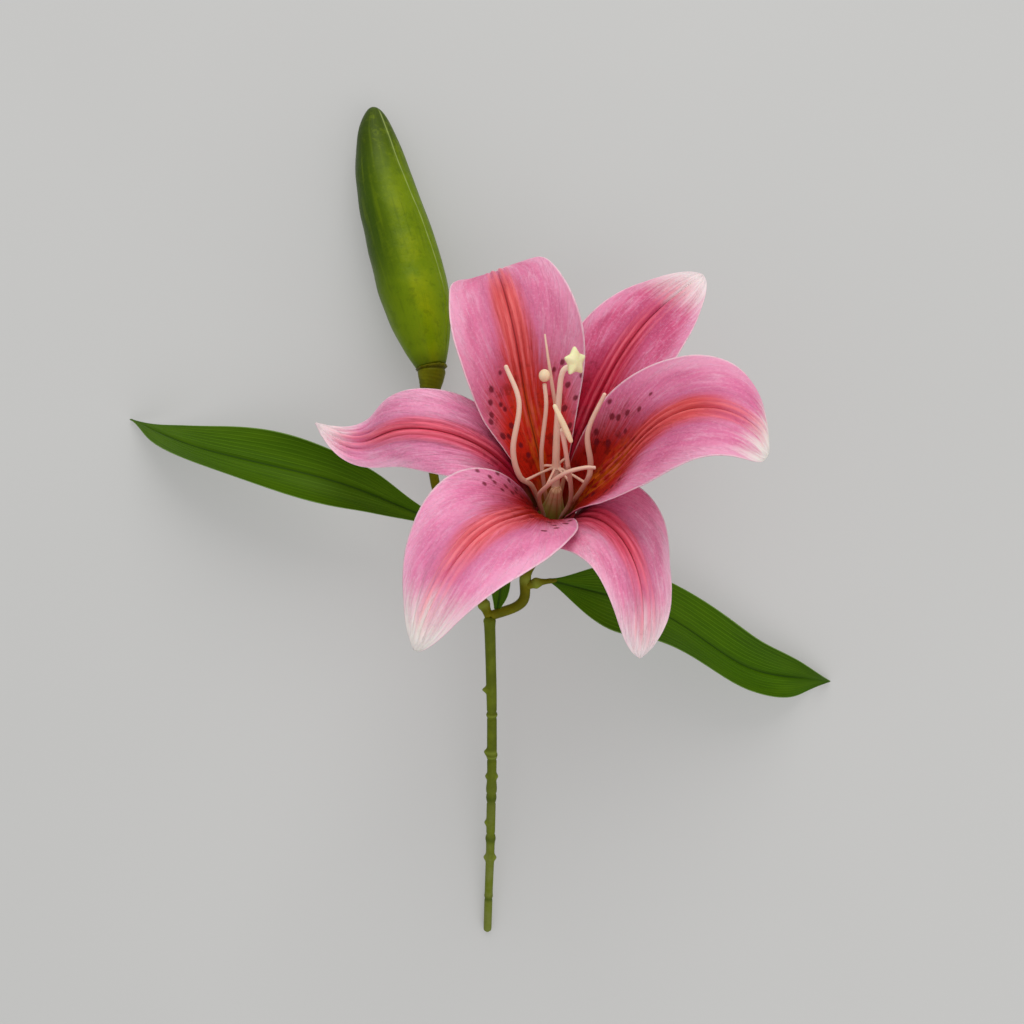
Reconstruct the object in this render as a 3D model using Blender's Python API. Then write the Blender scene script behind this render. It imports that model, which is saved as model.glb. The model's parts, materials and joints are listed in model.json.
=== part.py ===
"""A cut lily lying on a table: one open bloom, one closed bud, three leaves and a short stem.

Sizes and places are in millimetres and angles in degrees; MM turns them into metres where a mesh is
made. +Y runs from the cut end of the stem to the tip of the bud, and +Z points up from the table.
"""

import math

import bpy
import numpy as np
from mathutils import Vector

MM = 0.001
ORIGIN = np.array([-14.3, -5.5, 0.0])  # bottom centre of the lily's bounding box

# Bloom: its axis leans from the vertical towards +Y, and a little towards +X.
BLOOM_BASE = np.array([16.0, -1.5, 48.0])
BLOOM_LEAN = 32.0
BLOOM_HEADING = 6.0
PETAL_THICKNESS = 0.8
NARROWEST = 0.6  # smallest half width of a petal or a leaf, at its tip
WIDTH_RISE = 1.35  # above 1, the width grows slowly at first, then faster
PETAL_GRID = (17, 7)  # rows and columns of points
LEAF_GRID = (15, 5)
SPINE_STEPS = 10  # steps along a petal's spine for each row of points

# heading: clockwise from the top of the bloom. flare: angle from the bloom's axis, base to tip.
# sweep: sideways turn at the middle and the tip. roll: twist about the midrib, each third of the
# way. cup: half angle of the cross-section's arc, base to tip, with a minus sign where the edges
# turn back. claw: share of the width at the base. widest: where the petal is widest.
PETALS = {
    "petal_top": {
        "heading": -22, "root": 5.5, "length": 119, "width": 52, "flare": (14, 46, 36, 90, 149),
        "sweep": (4, 21), "roll": (0, 2, 22), "cup": (58, 39, 31, -9),
        "claw": 0.18, "widest": 0.59, "blunt": 0.82,
    },
    "petal_right": {
        "heading": 97, "root": 5.6, "length": 126, "width": 55, "flare": (11, 24, 18, 53, 159),
        "sweep": (11, 29), "roll": (-8, -4, 20), "cup": (56, 55, -2, -13),
        "claw": 0.18, "widest": 0.56, "blunt": 0.55,
    },
    "petal_lower_left": {
        "heading": 217, "root": 5.6, "length": 120, "width": 54, "flare": (13, 41, 52, 89, 135),
        "sweep": (1, -17), "roll": (-3, -23, -45), "cup": (54, 42, -13, 2),
        "claw": 0.19, "widest": 0.49, "blunt": 0.67,
    },
    "sepal_upper_right": {
        "heading": 27, "root": 7.5, "length": 118, "width": 44, "flare": (19, 36, 62, 85, 83),
        "sweep": (6, 27), "roll": (12, 9, 10), "cup": (42, 23, 6, 2),
        "claw": 0.38, "widest": 0.47, "blunt": 0.59,
    },
    "sepal_lower_right": {
        "heading": 155, "root": 7.3, "length": 107, "width": 38, "flare": (20, 28, 62, 121, 162),
        "sweep": (0, 31), "roll": (-20, 19, 23), "cup": (52, 12, -8, 2),
        "claw": 0.37, "widest": 0.41, "blunt": 0.82,
    },
    "sepal_left": {
        "heading": 291, "root": 7.4, "length": 124, "width": 33, "flare": (19, 43, 100, 139, 62),
        "sweep": (-4, 12), "roll": (2, 40, -17), "cup": (50, -2, -17, 9),
        "claw": 0.37, "widest": 0.41, "blunt": 0.81,
    },
}

# Leaves: each spine runs through four points, from the stalk to the tip.
LEAF_THICKNESS = 0.8
LEAVES = {
    "leaf_left": {
        "spine": ((-36, -2.2, 27), (-75, 13, 26.2), (-134, 27.7, 18.8), (-171, 41.5, 0.65)),
        "width": 30, "roll": (-11, -45, -71), "cup": (40, 60, 30, -3),
        "claw": 0.21, "widest": 0.46, "blunt": 1.05,
    },
    "leaf_right": {
        "spine": ((15.5, -28.3, 34), (61, -41.5, 31.5), (103.5, -67.6, 16), (142.5, -76, 0.6)),
        "width": 33, "roll": (40, 26, -56), "cup": (2, 13, 50, 38),
        "claw": 0.05, "widest": 0.26, "blunt": 0.66,
    },
    "leaf_back": {
        "spine": ((-5.5, -37.5, 34.5), (-4.5, -31, 37), (-4.5, -24, 39), (-6, -17, 40)),
        "width": 8, "roll": (0, 0, 0), "cup": (40, 30, 20, 10),
        "claw": 0.35, "widest": 0.45, "blunt": 0.8,
    },
}

# Stalks: points along the middle, then the radius at each end.
STALKS = {
    "bud_stalk": {
        "path": ((-9.6, -42.2, 32.2), (-20.6, -19, 30.7), (-32.6, 13, 27), (-36.0, 50.0, 21.8)),
        "radii": (1.9, 2.0),
    },
    "bloom_stalk": {
        "path": (
            (-7.1, -40.6, 31.8), (4.2, -37.6, 32.4), (6, -25.5, 33), (13, -14, 33), (15.2, -8.7, 36.3),
        ),
        "radii": (2.1, 2.3),
    },
    "leaf_stalk_left": {
        "path": ((-31.6, -4.0, 28.1), (-33.4, -3.3, 27.6), (-35.2, -2.6, 27.2)),
        "radii": (1.3, 1.6),
    },
    "leaf_stalk_right": {
        "path": ((8.2, -30.4, 33.4), (11.4, -29.5, 33.8), (14.6, -28.4, 34)),
        "radii": (1.9, 1.7),
    },
}
STALK_RINGS = 12
STALK_SIDES = 10

# Main stem: from the cut end on the table to the fork, with its collars and leaf scars.
STEM_PATH = ((-11, -187.5, 1.72), (-9.3, -137, 11), (-8.6, -90, 21), (-9.4, -43.6, 32))
STEM_RADII = (1.75, 2.35)
STEM_FORK_SWELL = 0.5
STEM_FORK_LENGTH = 3.0
STEM_COLLARS = (  # share of the length, height, half length
    (0.11, 0.25, 1.0), (0.29, 0.35, 1.4), (0.42, 0.3, 1.2),
    (0.45, 0.4, 3.0), (0.56, 0.35, 0.9), (0.69, 0.3, 0.9),
)
STEM_SCARS = (  # share of the length, turn round the stem
    (0.23, 90), (0.23, 270), (0.34, 270), (0.49, 90), (0.49, 270), (0.57, 270), (0.77, 270),
)
SCAR_HEIGHT = 0.8
SCAR_LENGTH = 1.3
STEM_RINGS = 61
STEM_SIDES = 12

# Bud: three blunt ridges along it, and a flared cup at its base.
BUD_BASE = np.array([-34.8, 62.5, 20.6])
BUD_TIP = np.array([-60.7, 177.5, 10.6])
BUD_BOW = np.array([-2.6, -0.6, 0.0])  # how far its upper half lies off the straight line
BUD_BOW_PLACE = 2.2  # above 1, the bow is nearer the tip than the base
BUD_RADIUS = 15.1
BUD_WIDEST = 0.32  # share of the length where the bud is thickest
BUD_FOOT = 0.42  # share of the full radius at the base
BUD_SWELL = 0.9  # exponents of the swelling below the widest place and of the rounding above it
BUD_BLUNT = 0.57
BUD_POINT = 0.004  # keeps the last ring open
BUD_RIDGE = 0.025
BUD_CROWDING = 1.3  # above 1, rings lie closer together towards the tip
BUD_RINGS = 19
BUD_SIDES = 18
CUP_RADII = (4.3, 5.5, 6.4)
CUP_LENGTH = 9.5
CUP_BEND = np.array([-2.6, -0.5, 0.0])  # how far its foot turns towards the stalk
CUP_CURVE = 1.5
CUP_STRAIGHT = 0.8  # share of the length above which the cup is straight
CUP_RINGS = 6
CUP_SIDES = 20

# Inside of the bloom, with distances along the bloom's axis from BLOOM_BASE.
RECEPTACLE = ((-12.0, 2.6), (-8.0, 4.0), (-4.0, 7.0), (-0.8, 8.6))  # distance, radius
OVARY = ((0.3, 2.2), (6.0, 2.9), (13.0, 3.6), (18.5, 3.2), (21.0, 1.7))
TURNED_SIDES = 20
FILAMENT_RING = 3.9
FILAMENT_RADII = (0.8, 0.6)
FILAMENT_RINGS = 13
FILAMENT_SIDES = 6
FILAMENTS = {  # heading round the ring, then points up to the tip
    "filament_1": (
        285, ((8.0, 9.6, 63), (2.9, 13.6, 72), (0.4, 23.4, 79), (2.6, 39.8, 86), (-2.4, 53.3, 89))),
    "filament_2": (340, ((12.4, 10.9, 62), (11.1, 22.6, 74), (12.5, 38.2, 84), (11.8, 45.8, 88))),
    "filament_3": (40, ((20.7, 21.8, 68), (16.1, 40.1, 80), (13.4, 54.8, 86), (11.9, 64.7, 88))),
    "filament_4": (100, ((27.7, 10.6, 72), (29.4, 17.6, 77), (27.9, 29.4, 84), (33.6, 42.9, 91))),
    "filament_5": (160, ((22.6, 4.6, 64), (20.5, 18.1, 82), (18.4, 27.1, 93))),
    "filament_6": (
        220, ((10.4, 5.4, 66), (12.8, 9.4, 74), (19.3, 14.2, 82), (26.4, 16.2, 84), (30.8, 16.2, 84))),
}
STYLE_PATH = ((16.7, 27.3, 76), (17.2, 43.2, 88), (18.1, 50.4, 95), (19.8, 51.2, 97))
STYLE_RADII = (1.1, 1.0)
STYLE_GAP = 1.0  # between the ovary and the style's foot
STYLE_RINGS = 14
STYLE_SIDES = 8
STIGMA_RADIUS = 3.2
STIGMA_LENGTH = 2.6
STIGMA_SIZES = (0.5, 0.9, 1.0, 0.85, 0.4)  # share of the radius at each ring
STIGMA_LOBES = 5
STIGMA_NOTCH = 0.18
STIGMA_SIDES = 30
KNOB_RADIUS = 2.3
KNOB_FLATNESS = 0.85
KNOB_TIP = 0.3
KNOB_RISE = 0.6  # height of its middle above the end of its filament
CLUB_ENDS = ((21.2, 24.5, 97), (14.7, 37.8, 101))
CLUB_RADIUS = 1.15
CLUB_TIP = 0.45
ANTHER_RINGS = 9
ANTHER_SIDES = 12
WEB_HEIGHT = 28.0  # along the bloom's axis
WEB_THICKNESS = 0.9
WEB_HUB = (1.7, 2.7)  # inner and outer radius
WEB_ARM = 0.33  # half width
FINE_STEPS = 400  # points along a path when a crossing is looked for
CLEARANCE = 0.35  # between separate pieces that meet

COLOURS = {  # colour, roughness
    "petal": ((0.78, 0.28, 0.42), 0.5),
    "throat": ((0.45, 0.55, 0.2), 0.5),
    "stamen": ((0.85, 0.66, 0.55), 0.5),
    "stigma": ((0.85, 0.84, 0.5), 0.5),
    "anther": ((0.85, 0.76, 0.58), 0.6),
    "leaf": ((0.07, 0.18, 0.03), 0.4),
    "stem": ((0.2, 0.28, 0.05), 0.4),
    "bud": ((0.2, 0.4, 0.03), 0.35),
}


def unit(vector):
    return vector / np.linalg.norm(vector, axis=-1, keepdims=True)


def ease(values, share):
    """A smooth curve through evenly spaced values, at share = 0 to 1."""
    values = np.asarray(values, float)
    spans = len(values) - 1
    knots = np.concatenate([[2 * values[0] - values[1]], values, [2 * values[-1] - values[-2]]])
    place = np.clip(np.asarray(share, float), 0, 1) * spans
    first = np.minimum(place.astype(int), spans - 1)
    part = place - first
    if values.ndim > 1:
        part = part[:, None]
    before, start, end, after = (knots[first + step] for step in range(4))
    linear = (end - before) * part
    square = (2 * before - 5 * start + 4 * end - after) * part**2
    cube = (3 * start - before - 3 * end + after) * part**3
    return 0.5 * (2 * start + linear + square + cube)


def bloom_axes():
    """The bloom's axis, its upward direction and its right-hand direction."""
    lean, heading = math.radians(BLOOM_LEAN), math.radians(BLOOM_HEADING)
    level = math.sin(lean) * np.array([math.sin(heading), math.cos(heading), 0.0])
    axis = level + np.array([0.0, 0.0, math.cos(lean)])
    up = unit(np.array([0.0, 1.0, 0.0]) - axis * axis[1])
    return axis, up, np.cross(up, axis)


def radial(heading):
    """The direction away from the bloom's axis at a heading, and the direction of growing heading."""
    _, up, right = bloom_axes()
    turn = math.radians(heading)
    outward = math.cos(turn) * up + math.sin(turn) * right
    return outward, math.cos(turn) * right - math.sin(turn) * up


def half_widths(shape, share):
    """Half width from the claw at the base, through the widest place, to the tip."""
    rise = np.sin(np.clip(share / shape["widest"], 0, 1) * math.pi / 2) ** WIDTH_RISE
    fall = np.clip((share - shape["widest"]) / (1 - shape["widest"]), 0, 1)
    profile = np.where(share < shape["widest"], shape["claw"] + (1 - shape["claw"]) * rise,
                       (1 - fall**2) ** shape["blunt"])
    return np.maximum(shape["width"] / 2 * profile, NARROWEST)


def sheet(spine, side, facing, shape, share, across):
    """Points of a curved sheet: rows along the spine, each an arc bent by the cup angle."""
    roll = np.radians(ease((0, *shape["roll"]), share))[:, None]
    side, facing = side * np.cos(roll) + facing * np.sin(roll), facing * np.cos(roll) - side * np.sin(roll)
    bend = np.radians(ease(shape["cup"], share))
    bend = np.where(np.abs(bend) < 0.001, 0.001, bend)
    radius = (half_widths(shape, share) / bend)[:, None, None]
    angle = (bend[:, None] * across[None, :])[..., None]
    flat = radius * np.sin(angle) * side[:, None]
    return spine[:, None] + flat + radius * (1 - np.cos(angle)) * facing[:, None]


def petal_sheet(shape):
    rows, columns = PETAL_GRID
    axis, _, _ = bloom_axes()
    outward, along = radial(shape["heading"])
    fine = np.linspace(0, 1, SPINE_STEPS * (rows - 1) + 1)
    flare = np.radians(ease(shape["flare"], fine))[:, None]
    sweep = np.radians(ease((0, *shape["sweep"]), fine))[:, None]
    away = np.cos(sweep) * outward + np.sin(sweep) * along
    direction = np.cos(flare) * axis + np.sin(flare) * away
    steps = (direction[1:] + direction[:-1]) / 2 * shape["length"] / (len(fine) - 1)
    spine = np.concatenate([[np.zeros(3)], np.cumsum(steps, axis=0)]) + BLOOM_BASE + shape["root"] * outward
    facing = np.sin(flare) * axis - np.cos(flare) * away
    side = unit(np.cross(direction, facing))
    kept = slice(None, None, SPINE_STEPS)
    return sheet(spine[kept], side[kept], facing[kept], shape, fine[kept], np.linspace(-1, 1, columns))


def leaf_sheet(shape):
    rows, columns = LEAF_GRID
    share = np.linspace(0, 1, rows)
    spine = ease(shape["spine"], share)
    direction = unit(np.gradient(spine, axis=0))
    facing = unit(np.array([0.0, 0.0, 1.0]) - direction * direction[:, 2:])
    side = np.cross(direction, facing)
    return sheet(spine, side, facing, shape, share, np.linspace(-1, 1, columns))


def material(name):
    """A plain material in the piece's colour."""
    found = bpy.data.materials.get(name)
    if found:
        return found
    made = bpy.data.materials.new(name)
    made.use_nodes = True
    colour, roughness = COLOURS[name]
    shader = made.node_tree.nodes["Principled BSDF"]
    shader.inputs["Base Color"].default_value = (*colour, 1)
    shader.inputs["Roughness"].default_value = roughness
    return made


def add_mesh(name, points, faces, colour):
    mesh = bpy.data.meshes.new(name)
    mesh.from_pydata([Vector((point - ORIGIN) * MM) for point in points], [], faces)
    mesh.shade_smooth()
    made = bpy.data.objects.new(name, mesh)
    bpy.context.scene.collection.objects.link(made)
    made.data.materials.append(material(colour))
    return made


def thicken(made, thickness):
    """Gives a surface its thickness, half to each side."""
    solid = made.modifiers.new("thickness", "SOLIDIFY")
    solid.thickness = thickness * MM
    solid.offset = 0


def add_slab(name, grid, thickness, colour):
    """A closed sheet of even thickness round a grid of points."""
    rows, columns = grid.shape[:2]
    corners = [(row * columns + column) for row in range(rows - 1) for column in range(columns - 1)]
    faces = [(corner, corner + 1, corner + columns + 1, corner + columns) for corner in corners]
    thicken(add_mesh(name, grid.reshape(-1, 3), faces, colour), thickness)


def rings(path, radius, sides):
    """Points of a ring round each path point, turned as little as possible from ring to ring."""
    directions = unit(np.gradient(path, axis=0))
    across_from = (0.0, 0.0, 1.0) if abs(directions[0][2]) < 0.9 else (0.0, 1.0, 0.0)
    across = unit(np.cross(directions[0], across_from))
    turns = np.linspace(0, 2 * math.pi, sides, endpoint=False)
    shares = np.linspace(0, 1, len(path))
    points = []
    for centre, direction, share in zip(path, directions, shares):
        across = unit(across - direction * (across @ direction))
        over = np.cross(direction, across)
        size = np.array([radius(share, turn) for turn in turns])
        spokes = np.cos(turns)[:, None] * across + np.sin(turns)[:, None] * over
        points.append(centre + size[:, None] * spokes)
    return np.concatenate(points)


def add_loft(name, path, radius, sides, colour):
    """A closed tube along a path, its radius given at each share of the length and turn round it."""
    points = rings(np.asarray(path, float), radius, sides)
    faces = []
    for ring in range(len(path) - 1):
        for turn in range(sides):
            here, after = ring * sides + turn, ring * sides + (turn + 1) % sides
            faces.append((here, after, after + sides, here + sides))
    faces.append(tuple(reversed(range(sides))))
    faces.append(tuple(range(len(points) - sides, len(points))))
    return add_mesh(name, points, faces, colour)


def tapered(start, end):
    """The radius of a tube that narrows or widens evenly from one end to the other."""
    def radius(share, turn):
        return start + (end - start) * share

    return radius


def add_turned(name, stations, colour):
    """A round solid on the bloom's axis, from pairs of distance and radius."""
    axis, _, _ = bloom_axes()
    distances = np.array([distance for distance, _ in stations])
    radii = np.array([radius for _, radius in stations])
    shares = np.linspace(0, 1, len(stations))
    path = BLOOM_BASE + distances[:, None] * axis
    return add_loft(name, path, lambda share, turn: np.interp(share, shares, radii), TURNED_SIDES, colour)


def build_petals():
    for name, shape in PETALS.items():
        add_slab(name, petal_sheet(shape), PETAL_THICKNESS, "petal")


def build_leaves():
    for name, shape in LEAVES.items():
        add_slab(name, leaf_sheet(shape), LEAF_THICKNESS, "leaf")


def stem_radius(length):
    def radius(share, turn):
        size = STEM_RADII[0] + (STEM_RADII[1] - STEM_RADII[0]) * share
        size += STEM_FORK_SWELL * math.exp(-(((1 - share) * length / STEM_FORK_LENGTH) ** 2))
        for place, height, half in STEM_COLLARS:
            size += height * math.exp(-(((share - place) * length / half) ** 2))
        for place, heading in STEM_SCARS:
            side = max(0.0, math.cos(turn - math.radians(heading))) ** 4
            size += SCAR_HEIGHT * side * math.exp(-(((share - place) * length / SCAR_LENGTH) ** 2))
        return size

    return radius


def build_stems():
    path = ease(STEM_PATH, np.linspace(0, 1, STEM_RINGS))
    length = np.linalg.norm(np.diff(path, axis=0), axis=1).sum()
    add_loft("main_stem", path, stem_radius(length), STEM_SIDES, "stem")
    for name, stalk in STALKS.items():
        path = ease(stalk["path"], np.linspace(0, 1, STALK_RINGS))
        add_loft(name, path, tapered(*stalk["radii"]), STALK_SIDES, "stem")


def crowded(share):
    """The share of the bud's length at which a ring lies."""
    return 1 - (1 - share) ** BUD_CROWDING


def bud_radius(ring_share, turn):
    share = crowded(ring_share)
    if share < BUD_WIDEST:
        rise = math.sin(math.pi / 2 * share / BUD_WIDEST) ** BUD_SWELL
        size = BUD_FOOT + (1 - BUD_FOOT) * rise
    else:
        fall = (share - BUD_WIDEST) / (1 - BUD_WIDEST)
        size = max(1 - fall**2, BUD_POINT) ** BUD_BLUNT
    return BUD_RADIUS * size * (1 + BUD_RIDGE * math.cos(3 * turn))


def cup_radius(share, turn):
    return float(ease(CUP_RADII, np.array([share]))[0])


def build_bud():
    shares = crowded(np.linspace(0, 1, BUD_RINGS))[:, None]
    bow = np.sin(math.pi * shares**BUD_BOW_PLACE) * BUD_BOW
    add_loft("bud", BUD_BASE + shares * (BUD_TIP - BUD_BASE) + bow, bud_radius, BUD_SIDES, "bud")
    down = unit(BUD_BASE - BUD_TIP)
    shares = np.linspace(0, 1, CUP_RINGS)[:, None]
    path = BUD_BASE + down * (CLEARANCE + CUP_LENGTH * (1 - shares))
    path = path + np.clip(1 - shares / CUP_STRAIGHT, 0, None) ** CUP_CURVE * CUP_BEND
    add_loft("bud_cup", path, cup_radius, CUP_SIDES, "stem")


def filament_path(heading, points, rows):
    axis, _, _ = bloom_axes()
    outward, _ = radial(heading)
    root = BLOOM_BASE + CLEARANCE * axis + FILAMENT_RING * outward
    return ease([root, *points], np.linspace(0, 1, rows))


def knob_radius(share, turn):
    return KNOB_TIP + KNOB_RADIUS * KNOB_FLATNESS * math.sqrt(1 - (2 * share - 1) ** 2)


def club_radius(share, turn):
    return CLUB_RADIUS * (CLUB_TIP + (1 - CLUB_TIP) * math.sin(math.pi * share) ** 0.5)


def stigma_radius(share, turn):
    size = np.interp(share, np.linspace(0, 1, len(STIGMA_SIZES)), STIGMA_SIZES)
    return STIGMA_RADIUS * float(size) * (1 - STIGMA_NOTCH * (1 - math.cos(STIGMA_LOBES * turn)))


def build_stamens():
    for name, (heading, points) in FILAMENTS.items():
        path = filament_path(heading, points, FILAMENT_RINGS)
        add_loft(name, path, tapered(*FILAMENT_RADII), FILAMENT_SIDES, "stamen")
    end = np.array(FILAMENTS["filament_2"][1][-1])
    centre = end + np.array([0.0, KNOB_RADIUS + CLEARANCE, KNOB_RISE])
    path = centre + np.linspace(-1, 1, ANTHER_RINGS)[:, None] * np.array([0.0, KNOB_RADIUS, 0.0])
    add_loft("anther_knob", path, knob_radius, ANTHER_SIDES, "anther")
    path = ease(CLUB_ENDS, np.linspace(0, 1, ANTHER_RINGS))
    add_loft("anther_club", path, club_radius, ANTHER_SIDES, "anther")


def style_path(rows):
    axis, _, _ = bloom_axes()
    foot = BLOOM_BASE + axis * (OVARY[-1][0] + STYLE_GAP)
    return ease([foot, *STYLE_PATH], np.linspace(0, 1, rows))


def build_pistil():
    add_turned("receptacle", RECEPTACLE, "stem")
    add_turned("ovary", OVARY, "throat")
    add_loft("style", style_path(STYLE_RINGS), tapered(*STYLE_RADII), STYLE_SIDES, "stamen")
    direction = unit(np.array(STYLE_PATH[-1]) - np.array(STYLE_PATH[-2]))
    start = np.array(STYLE_PATH[-1]) + direction * CLEARANCE
    path = start + direction * STIGMA_LENGTH * np.linspace(0, 1, len(STIGMA_SIZES))[:, None]
    add_loft("stigma", path, stigma_radius, STIGMA_SIDES, "stigma")


def crossing(path, place):
    """The point of a path that is level with a place, measured along the bloom's axis."""
    axis, _, _ = bloom_axes()
    return path[np.abs((path - place) @ axis).argmin()]


def web_arms(hub):
    """The heading and the length of the web's arm towards each filament, in order round the hub."""
    arms = []
    for heading, points in FILAMENTS.values():
        reach = crossing(filament_path(heading, points, FINE_STEPS), hub) - hub
        turn = math.degrees(math.atan2(reach @ radial(90)[0], reach @ radial(0)[0]))
        arms.append((turn, np.linalg.norm(reach) - FILAMENT_RADII[0] - 2 * CLEARANCE))
    return sorted(arms)


def build_web():
    """A thin star with a hole for the style and one arm towards each filament."""
    axis, _, _ = bloom_axes()
    hub = crossing(style_path(FINE_STEPS), BLOOM_BASE + axis * WEB_HEIGHT)
    arms = web_arms(hub)
    inner, outer = WEB_HUB
    half = math.degrees(WEB_ARM / outer)
    following_turns = [turn for turn, _ in arms[1:]] + [arms[0][0] + 360]
    points, faces = [], []
    for (turn, length), following_turn in zip(arms, following_turns):
        left, right = radial(turn - half)[0], radial(turn + half)[0]
        middle = radial((turn + following_turn) / 2)[0]
        outward, sideways = radial(turn)
        points += [hub + inner * left, hub + inner * right, hub + outer * left, hub + outer * right]
        points += [hub + outward * length - sideways * WEB_ARM, hub + outward * length + sideways * WEB_ARM]
        points += [hub + inner * middle, hub + outer * middle]
    for arm in range(len(arms)):
        first, following = 8 * arm, 8 * ((arm + 1) % len(arms))
        faces.append((first, first + 1, first + 3, first + 2))
        faces.append((first + 2, first + 3, first + 5, first + 4))
        faces.append((first + 1, first + 6, first + 7, first + 3))
        faces.append((first + 6, following, following + 2, first + 7))
    made = add_mesh("stamen_web", points, faces, "stamen")
    thicken(made, WEB_THICKNESS)
    made.data.shade_flat()


def main():
    for found in list(bpy.data.objects):
        bpy.data.objects.remove(found)
    build_stems()
    build_bud()
    build_leaves()
    build_petals()
    build_pistil()
    build_stamens()
    build_web()


main()
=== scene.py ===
"""Looks of the cut lily: finely modelled petals, leaves, bud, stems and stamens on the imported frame.

Lengths and places are in millimetres and angles in degrees, in the same layout as the CAD part. MM and
ORIGIN turn them into the frame's metres where a mesh is made. Every CAD node is replaced by a detailed
piece of the same name and nearly the same shape.
"""

import json
import math

import bpy
import numpy as np
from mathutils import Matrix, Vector

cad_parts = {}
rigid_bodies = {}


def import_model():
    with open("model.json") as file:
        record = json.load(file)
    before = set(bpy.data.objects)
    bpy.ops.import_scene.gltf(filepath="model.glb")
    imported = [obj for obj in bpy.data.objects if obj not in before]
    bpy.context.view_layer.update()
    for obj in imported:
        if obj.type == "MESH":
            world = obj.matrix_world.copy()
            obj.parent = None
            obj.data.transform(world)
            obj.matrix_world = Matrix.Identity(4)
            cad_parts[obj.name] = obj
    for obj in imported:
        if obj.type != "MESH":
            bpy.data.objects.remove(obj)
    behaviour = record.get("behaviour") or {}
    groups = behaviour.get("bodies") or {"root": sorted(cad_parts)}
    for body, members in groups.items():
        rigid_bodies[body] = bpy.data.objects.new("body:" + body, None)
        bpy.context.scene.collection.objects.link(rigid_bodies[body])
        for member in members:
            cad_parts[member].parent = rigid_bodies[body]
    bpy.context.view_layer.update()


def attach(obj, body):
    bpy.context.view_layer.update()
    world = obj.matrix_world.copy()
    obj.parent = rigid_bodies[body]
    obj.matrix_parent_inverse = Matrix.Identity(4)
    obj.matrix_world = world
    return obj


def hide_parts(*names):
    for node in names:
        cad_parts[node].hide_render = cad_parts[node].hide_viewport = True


MM = 0.001
ORIGIN = np.array([-14.3, -5.5, 0.0])  # bottom centre of the lily's bounding box

# Camera straight above the table, looking down.
CAMERA_PLACE = (0.0143, 0.0055, 0.460)
CAMERA_LENS = 36.0
CAMERA_SENSOR = 36.0

# Studio, in metres: an even dome, a soft key light from behind the bloom, a weaker fill and a softly
# lit table top.
DOME_COLOUR = (0.98, 0.99, 1.0, 1.0)
DOME_STRENGTH = 0.60
LIGHT_TARGET = (0.0, 0.0, 0.03)
KEY_PLACE = (0.10, 1.35, 1.00)
KEY_SIZE = 1.3
KEY_POWER = 13.0
FILL_PLACE = (0.6, -0.9, 1.2)
FILL_SIZE = 1.4
FILL_POWER = 6.0
FLOOR_HALF = 3.0
FLOOR_GLOW = 0.20

# Colours that the petals, leaves and stems share, and the bud's seam.
CRINKLE_HIGHLIGHT_PINK = (0.90, 0.52, 0.66)
FOOT_OLIVE = (0.42, 0.25, 0.05)
SPOT_MAROON = (0.15, 0.008, 0.016)
RIM_PINK = (0.93, 0.66, 0.71)
OUTSIDE_RIB = (0.60, 0.20, 0.22)
OUTSIDE_FOOT = (0.55, 0.42, 0.20)
LEAF_VEIN = (0.110, 0.225, 0.008)
LEAF_CREASE_SHADE = (0.012, 0.035, 0.002)
LEAF_RIM = (0.22, 0.36, 0.08)
LEAF_UNDERSIDE = (0.085, 0.15, 0.03)
BUD_SEAM = (0.38, 0.46, 0.13)
WORN_GREEN = (0.23, 0.28, 0.035)

# Stem colours: at the foot, further up, and on the rings.
STEM_GREENS = ((0.165, 0.190, 0.036), (0.096, 0.122, 0.006), (0.062, 0.088, 0.003))
BRANCH_GREENS = ((0.105, 0.102, 0.001), (0.108, 0.102, 0.001), (0.22, 0.20, 0.008))
CUP_GREENS = ((0.100, 0.104, 0.001), (0.112, 0.114, 0.001), (0.045, 0.046, 0.001))

# Waxy colours: at the foot, at the tip, and in blotches.
STAMEN_BEIGES = ((0.70, 0.41, 0.30), (0.86, 0.59, 0.45), (0.78, 0.49, 0.37))
# The style's peach is partly its own paler colour and partly painted light that makes up for the shade round
# its foot.
STYLE_PEACHES_LIT = ((0.90, 0.66, 0.48), (0.95, 0.72, 0.56), (0.88, 0.60, 0.44))
ANTHER_CREAMS = ((0.82, 0.60, 0.38), (0.88, 0.70, 0.46), (0.70, 0.46, 0.26))
STIGMA_LIMES = ((0.84, 0.79, 0.42), (0.88, 0.84, 0.50), (0.74, 0.72, 0.30))

# Bloom: its axis leans from the vertical towards +Y, and a little towards +X.
BLOOM_BASE = np.array([16.0, -1.5, 48.0])
BLOOM_LEAN = 32.0
BLOOM_HEADING = 6.0
NARROWEST = 0.6
WIDTH_RISE = 1.35
PETAL_ROWS = 200
PETAL_COLUMNS = 81
LEAF_ROWS = 220
LEAF_COLUMNS = 61
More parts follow.
